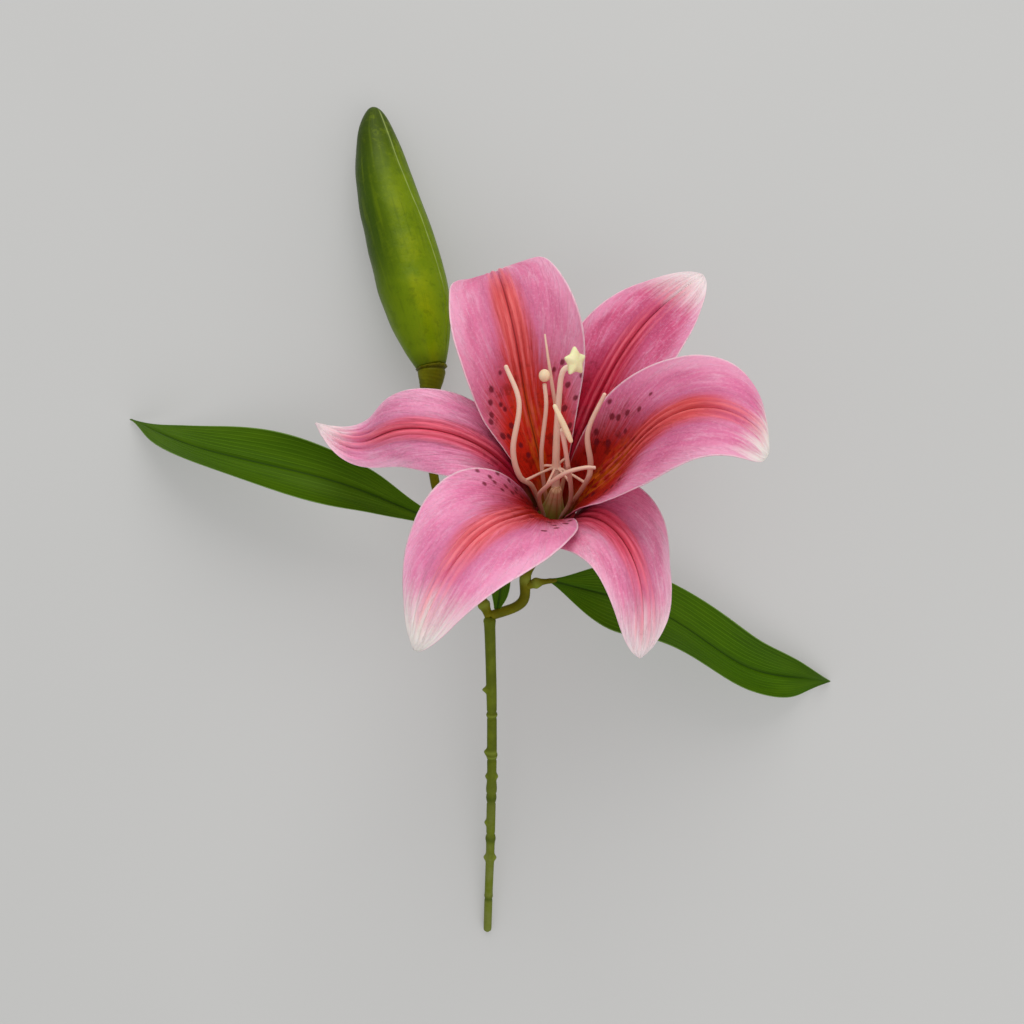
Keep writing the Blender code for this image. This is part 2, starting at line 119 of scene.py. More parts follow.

# The petals' shapes, nearly as in the CAD part, then how each looks. band: half width of the coral band as a
# share of the petal's. fold: the midrib's groove, and the ridges beside it. creases: place across,
# start and end along the petal, height. spots: place along, place across, radius.
# Each petal's colours are partly its own and partly painted light and shade: the pinks and midrib lines are
# darker on the upper petals and lighter on the lower and left ones.
PETALS = {
    "petal_top": {
        "heading": -22, "root": 5.5, "length": 119, "width": 52, "flare": (14, 46, 36, 90, 149),
        "sweep": (4, 21), "roll": (0, 2, 22), "cup": (58, 39, 31, -9),
        "claw": 0.18, "widest": 0.59, "blunt": 0.82,
        "pink": (0.73, 0.175, 0.330), "pale": (0.86, 0.420, 0.580), "band": 0.24,
        "coral": (0.62, 0.070, 0.064), "line": (0.20, 0.008, 0.012), "throat": (0.62, 0.020, 0.006),
        "glow": (0.66, 0.130, 0.008), "tip": (0.86, 0.62, 0.66), "tip_start": 0.95, "streak": 0.0,
        "throat_reach": 0.66, "fold": 0.55, "ridge": 0.36,
        "creases": ((0.13, 0.45, 0.95, 0.20), (-0.16, 0.5, 0.95, 0.18)),
        "nudges": ((0.73, -1.0, 1.1, 0.0), (0.83, -1.0, -0.3, 0.5), (0.84, 1.0, 0.2, 1.6)),
        "spots": (
            (0.46, -0.58, 0.75), (0.42, -0.68, 0.7), (0.38, -0.77, 0.75), (0.36, -0.86, 0.75),
            (0.40, -0.50, 0.55), (0.38, -0.45, 0.5), (0.32, -0.45, 0.75), (0.30, -0.78, 0.8),
            (0.29, -0.63, 0.7), (0.50, -0.35, 0.35), (0.49, 0.65, 0.6), (0.41, 0.75, 0.7),
            (0.36, 0.92, 0.6), (0.33, 0.72, 0.8), (0.27, 0.88, 0.6), (0.47, 0.52, 0.4),
            (0.44, 0.97, 0.5), (0.25, -0.43, 0.6), (0.21, -0.33, 0.6), (0.24, 0.50, 0.6),
        ),
    },
    "petal_right": {
        "heading": 97, "root": 5.6, "length": 126, "width": 55, "flare": (11, 24, 18, 53, 159),
        "sweep": (11, 29), "roll": (-8, -4, 20), "cup": (56, 55, -2, -13),
        "claw": 0.30, "widest": 0.56, "blunt": 0.55,
        "pink": (0.72, 0.165, 0.330), "pale": (0.87, 0.410, 0.570), "band": 0.24,
        "coral": (0.64, 0.060, 0.056), "line": (0.30, 0.015, 0.018), "throat": (0.42, 0.014, 0.007),
        "glow": (0.85, 0.24, 0.008), "tip": (0.92, 0.84, 0.78), "tip_start": 0.93, "streak": 0.35,
        "throat_reach": 0.66, "fold": 0.80, "ridge": 0.55,
        "creases": (
            (0.12, 0.35, 1.0, 0.35), (-0.13, 0.35, 1.0, 0.30), (0.30, 0.72, 1.0, 0.35),
            (-0.32, 0.75, 1.0, 0.30), (0.5, 0.85, 1.0, 0.3),
        ),
        "spots": (
            (0.41, -0.91, 0.5), (0.39, -0.72, 0.8), (0.41, -0.63, 0.8), (0.45, -0.57, 0.75),
            (0.50, -0.47, 0.6), (0.42, -0.37, 0.6), (0.31, -0.78, 0.8), (0.29, -0.66, 0.8),
            (0.33, -0.47, 1.0), (0.55, -0.57, 0.35), (0.23, 0.32, 0.8), (0.33, 0.52, 0.9),
            (0.19, 0.23, 0.8), (0.32, 0.70, 0.9), (0.37, 0.50, 0.7), (0.41, 0.45, 0.6),
        ),
    },
    "petal_lower_left": {
        "heading": 217, "root": 5.6, "length": 120, "width": 54, "flare": (13, 41, 52, 89, 135),
        "sweep": (1, -17), "roll": (-3, -23, -45), "cup": (54, 42, -13, 2),
        "claw": 0.19, "widest": 0.49, "blunt": 0.67,
        "pink": (0.82, 0.215, 0.410), "pale": (0.95, 0.480, 0.660), "band": 0.25,
        "coral": (0.76, 0.118, 0.136), "line": (0.45, 0.028, 0.034), "throat": (0.38, 0.009, 0.010),
        "glow": (0.55, 0.04, 0.015), "tip": (0.93, 0.85, 0.80), "tip_start": 0.84, "streak": 0.85,
        "throat_reach": 0.52, "fold": 0.85, "ridge": 0.65,
        "creases": (
            (0.14, 0.3, 0.97, 0.35), (-0.16, 0.35, 0.97, 0.35), (0.33, 0.66, 1.0, 0.30),
            (-0.33, 0.68, 1.0, 0.30),
        ),
        "spots": (
            (0.35, 0.95, 0.4), (0.27, 0.96, 0.5), (0.31, 0.85, 0.5), (0.35, 0.72, 0.5),
            (0.30, 0.76, 0.45), (0.25, 0.73, 0.6), (0.23, 0.60, 0.6), (0.28, 0.62, 0.5),
            (0.17, 0.62, 0.6), (0.22, 0.91, 0.5), (0.19, 0.80, 0.5), (0.15, 0.52, 0.5),
            (0.20, 0.68, 0.5), (0.27, -0.45, 0.8), (0.28, -0.78, 0.9), (0.42, -0.55, 0.8),
            (0.24, -0.88, 0.8), (0.35, -0.66, 0.8), (0.31, -0.60, 0.6),
        ),
    },
    "sepal_upper_right": {
        "heading": 27, "root": 7.5, "length": 118, "width": 44, "flare": (19, 36, 62, 85, 83),
        "sweep": (6, 27), "roll": (12, 9, 10), "cup": (42, 23, 6, 2),
        "claw": 0.38, "widest": 0.47, "blunt": 0.59,
        "pink": (0.62, 0.085, 0.205), "pale": (0.84, 0.360, 0.540), "band": 0.18,
        "coral": (0.55, 0.038, 0.080), "line": (0.28, 0.008, 0.022), "throat": (0.45, 0.006, 0.032),
        "glow": (0.36, 0.006, 0.018), "tip": (0.88, 0.74, 0.74), "tip_start": 0.84, "streak": 0.8,
        "throat_reach": 0.68, "fold": 0.85, "ridge": 0.55,
        "creases": ((0.16, 0.3, 0.95, 0.25), (-0.18, 0.3, 0.95, 0.25)),
        "spots": (),
    },
    "sepal_lower_right": {
        "heading": 155, "root": 7.3, "length": 107, "width": 38, "flare": (20, 28, 62, 121, 162),
        "sweep": (0, 31), "roll": (-20, 19, 23), "cup": (52, 12, -8, 2),
        "claw": 0.62, "widest": 0.41, "blunt": 0.74,
        "pink": (0.80, 0.215, 0.385), "pale": (0.96, 0.580, 0.720), "band": 0.24,
        "coral": (0.74, 0.066, 0.120), "line": (0.40, 0.020, 0.038), "throat": (0.38, 0.010, 0.020),
        "glow": (0.40, 0.010, 0.018), "tip": (0.94, 0.78, 0.79), "tip_start": 0.80, "streak": 0.9,
        "throat_reach": 0.38, "fold": 0.80, "ridge": 0.60,
        "creases": ((0.17, 0.3, 0.95, 0.35), (-0.20, 0.3, 0.85, 0.30), (-0.42, 0.4, 0.85, 0.15)),
        "spots": (),
    },
    "sepal_left": {
        "heading": 291, "root": 7.4, "length": 124, "width": 33, "flare": (19, 43, 100, 139, 62),
        "sweep": (-4, 12), "roll": (2, 40, -17), "cup": (50, -2, -17, 9),
        "claw": 0.44, "widest": 0.41, "blunt": 0.81,
        "pink": (0.86, 0.245, 0.440), "pale": (0.97, 0.540, 0.700), "band": 0.24,
        "coral": (0.74, 0.090, 0.145), "line": (0.38, 0.018, 0.036), "throat": (0.38, 0.008, 0.040),
        "glow": (0.38, 0.010, 0.02), "tip": (0.88, 0.74, 0.74), "tip_start": 0.88, "streak": 0.55,
        "throat_reach": 0.52, "fold": 0.80, "ridge": 0.55,
        "creases": (
            (0.20, 0.35, 0.98, 0.35), (-0.22, 0.35, 0.98, 0.35), (0.45, 0.7, 1.0, 0.35),
            (-0.48, 0.72, 1.0, 0.3),
        ),
        "spots": (),
    },
}
PETAL_WAVE = 0.55
PETAL_THICKNESSES = (0.5, 0.22)  # at the midrib and at the edge
PETAL_RIDGES = (  # beside the midrib: distance from it, half width, height as a share of the petal's ridge
    (1.5, 0.65, 1.0), (2.8, 0.6, -0.45), (3.9, 0.7, 0.40),
)
SPOT_STRETCH = 0.8  # below 1, spots are longer than they are wide
NO_SPOT = 9.0
VEIN_SPREAD = 2.2  # how fast a petal's veins run from the midrib towards the edge

LEAVES = {
    "leaf_left": {
        "spine": ((-36, -2.2, 27), (-75, 13, 26.2), (-134, 27.7, 18.8), (-171, 41.5, 0.65)),
        "width": 30, "roll": (-11, -45, -71), "cup": (40, 60, 30, -3),
        "claw": 0.21, "widest": 0.46, "blunt": 1.05, "veins": 8.0, "green": (0.046, 0.106, 0.0006),
    },
    "leaf_right": {
        "spine": ((15.5, -28.3, 34), (61, -41.5, 31.5), (103.5, -67.6, 16), (142.5, -76, 0.6)),
        "width": 33, "roll": (40, 26, -56), "cup": (2, 13, 50, 38),
        "claw": 0.05, "widest": 0.26, "blunt": 0.66, "veins": 9.0, "green": (0.043, 0.108, 0.0006),
    },
    "leaf_back": {
        "spine": ((-6.2, -40.4, 32.2), (-4.9, -33, 36.2), (-4.5, -25, 39), (-6, -17, 40)),
        "width": 8, "roll": (0, 0, 0), "cup": (40, 30, 20, 10),
        "claw": 0.35, "widest": 0.45, "blunt": 0.8, "veins": 3.0, "green": (0.036, 0.088, 0.0006),
    },
}
LEAF_THICKNESSES = (0.55, 0.25)  # at the midrib and at the edge
LEAF_FOLD = 0.7
LEAF_WAVE = 0.7

STALKS = {
    "bud_stalk": {
        "path": ((-9.2, -44.4, 31.8), (-20.6, -19, 30.7), (-32.6, 13, 27), (-36.0, 51.6, 21.7)),
        "radii": (1.9, 2.0), "node": (0.075, 0.9),
    },
    "bloom_stalk": {
        "path": ((-9.2, -43.6, 31.4), (4.2, -37.6, 32.4), (6, -25.5, 33), (13, -14, 33), (15.4, -7.2, 38.8)),
        "radii": (2.1, 2.3), "node": (0.45, 0.25),
    },
    "leaf_stalk_left": {
        "path": ((-29.0, -4.6, 28.4), (-33.4, -3.3, 27.6), (-39.0, -0.9, 26.9)),
        "radii": (1.6, 1.2), "node": (0.4, 0.5),
    },
    "leaf_stalk_right": {
        "path": ((5.6, -31.0, 33.2), (11.4, -29.3, 33.8), (19.0, -28.4, 33.6)),
        "radii": (1.8, 0.9), "node": (0.40, 0.9),
    },
}
STALK_NODE_LENGTH = 1.9

STEM_PATH = ((-11, -187.5, 1.72), (-9.3, -137, 11), (-8.6, -90, 21), (-9.4, -43.6, 32))
STEM_RADII = (1.75, 2.35)
STEM_FORK_SWELL = 0.5
STEM_FORK_LENGTH = 3.0
STEM_COLLARS = (  # share of the length, height, half length
    (0.11, 0.18, 1.0), (0.29, 0.35, 1.4), (0.42, 0.25, 1.2),
    (0.45, 0.4, 3.0), (0.56, 0.35, 0.9), (0.69, 0.3, 0.7),
)
STEM_GROOVES = (  # share of the length, half length
    (0.105, 0.7), (0.305, 0.5), (0.405, 0.5), (0.435, 0.4), (0.545, 0.45), (0.68, 0.4), (0.70, 0.4),
)
STEM_GROOVE_DEPTH = 0.22
STEM_SCARS = (  # share of the length, turn round the stem, height
    (0.23, 0, 1.0), (0.23, 180, 1.0), (0.34, 180, 0.9), (0.49, 0, 0.8), (0.49, 180, 0.9), (0.57, 180, 1.3),
    (0.77, 180, 1.7),
)
STEM_BANDS = ((0.105, 1.2), (0.29, 1.6), (0.42, 1.8))  # darker rings: share, half length
STEM_LIGHT_RINGS = ((0.57, 0.9), (0.69, 0.5), (0.555, 0.5))
SCAR_LENGTH = 1.2

BUD_BASE = np.array([-34.8, 62.5, 20.6])
BUD_TIP = np.array([-60.7, 177.5, 10.6])
BUD_BOW = np.array([-2.6, -0.6, 0.0])  # how far its upper half lies off the straight line
BUD_BOW_PLACE = 2.2  # above 1, the bow is nearer the tip
BUD_RADIUS = 15.1
BUD_WIDEST = 0.32
BUD_FOOT = 0.42
BUD_SWELL = 0.9
BUD_BLUNT = 0.50
BUD_POINT = 0.0004
BUD_RIDGE = 0.025
BUD_LENGTH = 118.0
BUD_MARKS = (  # share of the length, turn round the bud, half length, height of small dents and nicks
    (0.96, 60, 1.6, -0.45), (0.92, 20, 2.2, 0.35), (0.88, 55, 2.5, -0.30), (0.78, 40, 3.0, 0.30),
    (0.74, 160, 0.6, 0.35), (0.56, 150, 1.2, -0.40), (0.50, 165, 0.8, 0.40), (0.40, 140, 1.0, -0.35),
    (0.31, 45, 0.7, 0.30), (0.25, 100, 2.6, -0.30), (0.15, 70, 2.2, 0.35), (0.12, 120, 2.4, -0.30),
)
CUP_RADII = (4.3, 5.5, 6.4)
CUP_LENGTH = 9.5
CUP_BEND = np.array([-2.6, -0.5, 0.0])
CUP_CURVE = 1.5

RECEPTACLE = ((-12.0, 2.6), (-8.0, 4.0), (-4.0, 7.4), (-0.8, 10.2))
OVARY = ((0.3, 6.0), (4.4, 4.9), (10.0, 3.7), (16.0, 2.7), (21.0, 1.9))
FILAMENT_RING = 3.9
FILAMENTS = {  # heading round the ring, points up to the tip, radius at the foot, middle and tip
    "filament_1": (
        285, ((8.0, 9.6, 63), (2.9, 13.6, 72), (0.4, 23.4, 79), (2.6, 39.8, 86), (-2.4, 53.3, 89)),
        (0.8, 1.1, 0.8)),
    "filament_2": (
        340, ((12.4, 10.9, 62), (11.1, 22.6, 74), (12.5, 38.2, 84), (11.8, 46.8, 88)),
        (0.8, 0.8, 0.75)),
    "filament_3": (
        40, ((20.7, 21.8, 68), (16.1, 40.1, 80), (13.4, 54.8, 86), (11.9, 64.7, 88)),
        (0.85, 0.75, 0.32)),
    "filament_4": (
        100, ((27.7, 10.6, 72), (29.4, 17.6, 77), (27.9, 29.4, 84), (33.6, 42.9, 91)),
        (0.8, 1.1, 0.75)),
    "filament_5": (160, ((22.6, 4.6, 64), (20.5, 18.1, 82), (17.6, 29.6, 95.4)), (0.8, 0.9, 0.75)),
    "filament_6": (
        220, ((10.4, 5.4, 66), (12.8, 9.4, 74), (19.3, 14.2, 82), (26.4, 16.2, 84), (30.8, 16.2, 84)),
        (0.8, 0.85, 0.7)),
}
STYLE_PATH = ((16.7, 27.3, 76), (17.2, 43.2, 88), (18.1, 50.0, 94.5), (20.7, 51.8, 96.4))
STYLE_RADII = (1.7, 1.05, 1.05)
STYLE_GAP = -4.0
STIGMA_CENTRE = np.array([22.2, 53.0, 99.4])
STIGMA_FACING = np.array([0.68, -0.1, 0.74])
STIGMA_RADIUS = 5.6
STIGMA_LENGTH = 3.2
STIGMA_LOBES = 5
STIGMA_TURN = 0.35  # radians
STIGMA_NOTCH = 0.62  # radius of the notches between the lobes, as a share of the full radius
STIGMA_POINT = 0.93  # the same for the lobes' cut-off points
KNOB_RADIUS = 2.3
KNOB_FLATNESS = 0.92
KNOB_RISE = 0.9
CLUB_ENDS = ((21.2, 24.5, 97), (14.7, 37.8, 101))
CLUB_RADIUS = 1.15
WEB_HEIGHT = 28.0
WEB_HUB = 1.9
WEB_ROD = 0.55
WEB_DROP = 4.0
WEB_SAG = 0.4
WEB_SIDES = 12
CLEARANCE = 0.35


# ---- curves and shapes ----

def unit(vector):
    return vector / np.linalg.norm(vector, axis=-1, keepdims=True)


def rise(value, low, high):
    """0 below low, 1 above high, and smooth between them."""
    share = np.clip((value - low) / (high - low), 0, 1)
    return share * share * (3 - 2 * share)


def bell(value, width):
    return np.exp(-(value / width) ** 2)


def ease(values, share):
    """A smooth curve through evenly spaced values, at share = 0 to 1."""
    values = np.asarray(values, float)
    spans = len(values) - 1
    knots = np.concatenate([[2 * values[0] - values[1]], values, [2 * values[-1] - values[-2]]])
    place = np.clip(np.asarray(share, float), 0, 1) * spans
    first = np.minimum(place.astype(int), spans - 1)
    part = place - first
    if values.ndim > 1:
        part = part[:, None]
    before, start, end, after = (knots[first + step] for step in range(4))
    linear = (end - before) * part
    square = (2 * before - 5 * start + 4 * end - after) * part**2
    cube = (3 * start - before - 3 * end + after) * part**3
    return 0.5 * (2 * start + linear + square + cube)


def bloom_axes():
    """The bloom's axis, its upward direction and its right-hand direction."""
    lean, heading = math.radians(BLOOM_LEAN), math.radians(BLOOM_HEADING)
    axis = np.array([math.sin(lean) * math.sin(heading), math.sin(lean) * math.cos(heading), math.cos(lean)])
    up = unit(np.array([0.0, 1.0, 0.0]) - axis * axis[1])
    return axis, up, np.cross(up, axis)


def radial(heading):
    """The direction away from the bloom's axis at a heading, and the direction of growing heading."""
    _, up, right = bloom_axes()
    turn = math.radians(heading)
    outward = math.cos(turn) * up + math.sin(turn) * right
    return outward, math.cos(turn) * right - math.sin(turn) * up


def half_widths(shape, share):
    """Half width from the claw at the base, through the widest place, to the tip."""
    growth = np.sin(np.clip(share / shape["widest"], 0, 1) * math.pi / 2) ** WIDTH_RISE
    fall = np.clip((share - shape["widest"]) / (1 - shape["widest"]), 0, 1)
    profile = np.where(share < shape["widest"], shape["claw"] + (1 - shape["claw"]) * growth,
                       (1 - fall**2) ** shape["blunt"])
    return np.maximum(shape["width"] / 2 * profile, NARROWEST)


def sheet(spine, side, facing, shape, share, across):
    """Points of a curved sheet: rows along the spine, each an arc bent by the cup angle."""
    roll = np.radians(ease((0, *shape["roll"]), share))[:, None]
    side, facing = side * np.cos(roll) + facing * np.sin(roll), facing * np.cos(roll) - side * np.sin(roll)
    bend = np.radians(ease(shape["cup"], share))
    bend = np.where(np.abs(bend) < 0.001, 0.001, bend)
    radius = (half_widths(shape, share) / bend)[:, None, None]
    angle = (bend[:, None] * across[None, :])[..., None]
    flat = radius * np.sin(angle) * side[:, None]
    return spine[:, None] + flat + radius * (1 - np.cos(angle)) * facing[:, None]


def petal_sheet(shape, share, across):
    axis, _, _ = bloom_axes()
    outward, along = radial(shape["heading"])
    fine = np.linspace(0, 1, 1001)
    flare = np.radians(ease(shape["flare"], fine))[:, None]
    sweep = np.radians(ease((0, *shape["sweep"]), fine))[:, None]
    away = np.cos(sweep) * outward + np.sin(sweep) * along
    direction = np.cos(flare) * axis + np.sin(flare) * away
    steps = (direction[1:] + direction[:-1]) / 2 * shape["length"] / (len(fine) - 1)
    spine = np.concatenate([[np.zeros(3)], np.cumsum(steps, axis=0)]) + BLOOM_BASE + shape["root"] * outward
    facing = np.sin(flare) * axis - np.cos(flare) * away
    side = unit(np.cross(direction, facing))
    kept = np.round(share * (len(fine) - 1)).astype(int)
    return sheet(spine[kept], side[kept], facing[kept], shape, share, across)


def leaf_sheet(shape, share, across):
    spine = ease(shape["spine"], share)
    direction = unit(np.gradient(spine, axis=0))
    facing = unit(np.array([0.0, 0.0, 1.0]) - direction * direction[:, 2:])
    side = np.cross(direction, facing)
    return sheet(spine, side, facing, shape, share, across)


def grid_normals(grid):
    return unit(np.cross(np.gradient(grid, axis=1), np.gradient(grid, axis=0)))


def crowded(count):
    """Places across a petal or a leaf from -1 to 1, closer together near the midrib."""
    even = np.linspace(-1, 1, count)
    return np.sign(even) * np.abs(even) ** 1.3


# ---- mesh making ----

def add_mesh(name, points, faces, values, material):
    """A smooth mesh with one number per point for each of the named values."""
    mesh = bpy.data.meshes.new(name)
    mesh.from_pydata(((points - ORIGIN) * MM).tolist(), [], faces)
    mesh.shade_smooth()
    for key, numbers in values.items():
        attribute = mesh.attributes.new(key, "FLOAT", "POINT")
        attribute.data.foreach_set("value", np.asarray(numbers, np.float32).ravel())
    mesh.materials.append(material)
    made = bpy.data.objects.new("look_" + name, mesh)
    bpy.context.scene.collection.objects.link(made)
    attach(made, "root")
    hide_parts(name)
    return made


def add_slab(name, grid, thickness, values, material):
    """A closed sheet round a grid of points, front and back joined by a rim."""
    rows, columns = grid.shape[:2]
    offset = grid_normals(grid) * thickness[..., None] / 2
    points = np.concatenate([(grid + offset).reshape(-1, 3), (grid - offset).reshape(-1, 3)])
    count = rows * columns
    index = np.arange(count).reshape(rows, columns)
    front = np.stack([index[:-1, :-1], index[:-1, 1:], index[1:, 1:], index[1:, :-1]], -1).reshape(-1, 4)
    border = np.concatenate([index[0, :-1], index[:-1, -1], index[-1, :0:-1], index[:0:-1, 0]])
    following = np.roll(border, -1)
    rim = np.stack([border, border + count, following + count, following], -1)
    faces = np.concatenate([front, front[:, ::-1] + count, rim]).tolist()
    doubled = {key: np.concatenate([numbers.ravel(), numbers.ravel()]) for key, numbers in values.items()}
    doubled["inner"] = np.repeat([1.0, 0.0], count)
    return add_mesh(name, points, faces, doubled, material)


def ring_frames(path):
    """Two directions across the path at each point, turned as little as possible along it."""
    directions = unit(np.gradient(path, axis=0))
    helper = (0.0, 0.0, 1.0) if abs(directions[0][2]) < 0.9 else (0.0, 1.0, 0.0)
    across = unit(np.cross(directions[0], helper))
    frames = []
    for direction in directions:
        across = unit(across - direction * (across @ direction))
        frames.append((across, np.cross(direction, across)))
    return np.array(frames)


def loft(path, radii):
    """Points and faces of a closed tube, radii given as rings by turns."""
    path = np.asarray(path, float)
    count, sides = radii.shape
    turns = ring_turns(sides)[..., None]
    frames = ring_frames(path)
    spokes = np.cos(turns) * frames[:, None, 0] + np.sin(turns) * frames[:, None, 1]
    points = (path[:, None] + radii[..., None] * spokes).reshape(-1, 3)
    index = np.arange(count * sides).reshape(count, sides)
    after = np.roll(index, -1, axis=1)
    wall = np.stack([index[:-1], after[:-1], after[1:], index[1:]], -1).reshape(-1, 4).tolist()
    return points, wall + [index[0, ::-1].tolist(), index[-1].tolist()]


def ring_turns(sides):
    """Turns round a tube, as one row."""
    return np.linspace(0, 2 * math.pi, sides, endpoint=False)[None, :]


def turned_from(turn, heading):
    """The turn from a heading, from minus half a turn to half a turn."""
    return np.angle(np.exp(1j * (turn - heading)))


def closing(distance, radius, least):
    """A factor on a tube's radius that rounds off an end, at a distance from that end."""
    return np.sqrt(np.clip(1 - (1 - np.clip(distance / radius, 0, 1)) ** 2, least, 1))


def round_ends(share, length, radius):
    """How far a tube's radius closes towards its two ends."""
    return closing(share * length, radius, 0.01) * closing((1 - share) * length, radius, 0.01)


def end_crowded(count):
    """Shares from 0 to 1, closer together near both ends."""
    return (1 - np.cos(np.linspace(0, math.pi, count))) / 2


def path_length(path):
    return np.linalg.norm(np.diff(path, axis=0), axis=1).sum()


def wobble(share, turn, seed, amount):
    """Slow unevenness round and along a tube."""
    rng = np.random.default_rng(seed)
    total = np.zeros(np.broadcast(share, turn).shape)
    for _ in range(6):
        waves, lobes, phase = rng.uniform(2, 14), rng.integers(1, 4), rng.uniform(0, 2 * math.pi)
        total += np.sin(waves * math.pi * share + lobes * turn + phase)
    return amount * total / 6


# ---- materials ----

def shade(colour, factor, added=0.0):
    """The colour made darker or lighter."""
    return tuple(min(1.0, factor * part + added) for part in colour)


class Paint:
    """The nodes of one material. Each call adds one step, and colour is what has been laid on so far."""

    def __init__(self, name, colour):
        self.material = bpy.data.materials.new(name)
        self.material.use_nodes = True
        self.tree = self.material.node_tree
        self.shader = self.tree.nodes["Principled BSDF"]
        self.colour = colour

    def put(self, socket, value):
        if isinstance(value, bpy.types.NodeSocket):
            self.tree.links.new(value, socket)
        elif isinstance(value, tuple) and len(value) == 3 and socket.type == "RGBA":
            socket.default_value = (*value, 1.0)
        else:
            socket.default_value = value

    def value(self, name):
        """A number that the mesh holds at each point."""
        node = self.tree.nodes.new("ShaderNodeAttribute")
        node.attribute_name = name
        return node.outputs["Fac"]

    def math(self, operation, first, second=0.0):
        node = self.tree.nodes.new("ShaderNodeMath")
        node.operation = operation
        self.put(node.inputs[0], first)
        self.put(node.inputs[1], second)
        return node.outputs[0]

    def times(self, *factors):
        total = factors[0]
        for factor in factors[1:]:
            total = self.math("MULTIPLY", total, factor)
        return total

    def add(self, first, second, factor):
        """first + second * factor"""
        return self.math("ADD", first, self.times(second, factor))

    def rise(self, value, low, high, start=0.0, end=1.0):
        """start below low, end above high, and smooth between them."""
        node = self.tree.nodes.new("ShaderNodeMapRange")
        node.interpolation_type = "SMOOTHSTEP"
        self.put(node.inputs["Value"], value)
        for name, number in (("From Min", low), ("From Max", high), ("To Min", start), ("To Max", end)):
            self.put(node.inputs[name], number)
        return node.outputs["Result"]

    def fall(self, value, low, high):
        return self.rise(value, low, high, 1.0, 0.0)

    def mix(self, share, first, second):
        node = self.tree.nodes.new("ShaderNodeMix")
        node.data_type = "RGBA"
        self.put(node.inputs[0], share)
        self.put(node.inputs[6], first)
        self.put(node.inputs[7], second)
        return node.outputs[2]

    def cover(self, colour, *shares):
        """Lay a colour over what is there. The product of the shares says how thickly."""
        self.colour = self.mix(self.times(*shares), self.colour, colour)

    def place(self):
        """The point on the object, in metres."""
        return self.tree.nodes.new("ShaderNodeTexCoord").outputs["Object"]

    def noise(self, vector, scale, detail=3.0, roughness=0.55):
        node = self.tree.nodes.new("ShaderNodeTexNoise")
        self.put(node.inputs["Vector"], vector)
        self.put(node.inputs["Scale"], scale)
        self.put(node.inputs["Detail"], detail)
        self.put(node.inputs["Roughness"], roughness)
        return node.outputs["Fac"]

    def streaky(self, across, along, waves_across, waves_along, offset=0.0, detail=3.0, roughness=0.55):
        """Noise drawn out along a petal, leaf or bud."""
        node = self.tree.nodes.new("ShaderNodeCombineXYZ")
        self.put(node.inputs[0], self.times(across, waves_across))
        self.put(node.inputs[1], self.times(along, waves_along))
        self.put(node.inputs[2], offset)
        return self.noise(node.outputs[0], 1.0, detail, roughness)

    def finish(self, roughness, height=None, depth=0.0002, strength=0.5, **settings):
        self.put(self.shader.inputs["Base Color"], self.colour)
        self.put(self.shader.inputs["Roughness"], roughness)
        if height is not None:
            bump = self.tree.nodes.new("ShaderNodeBump")
            self.put(bump.inputs["Height"], height)
            bump.inputs["Distance"].default_value = depth
            bump.inputs["Strength"].default_value = strength
            self.tree.links.new(bump.outputs["Normal"], self.shader.inputs["Normal"])
        for name, number in settings.items():
            self.shader.inputs[name.replace("_", " ")].default_value = number
        return self.material


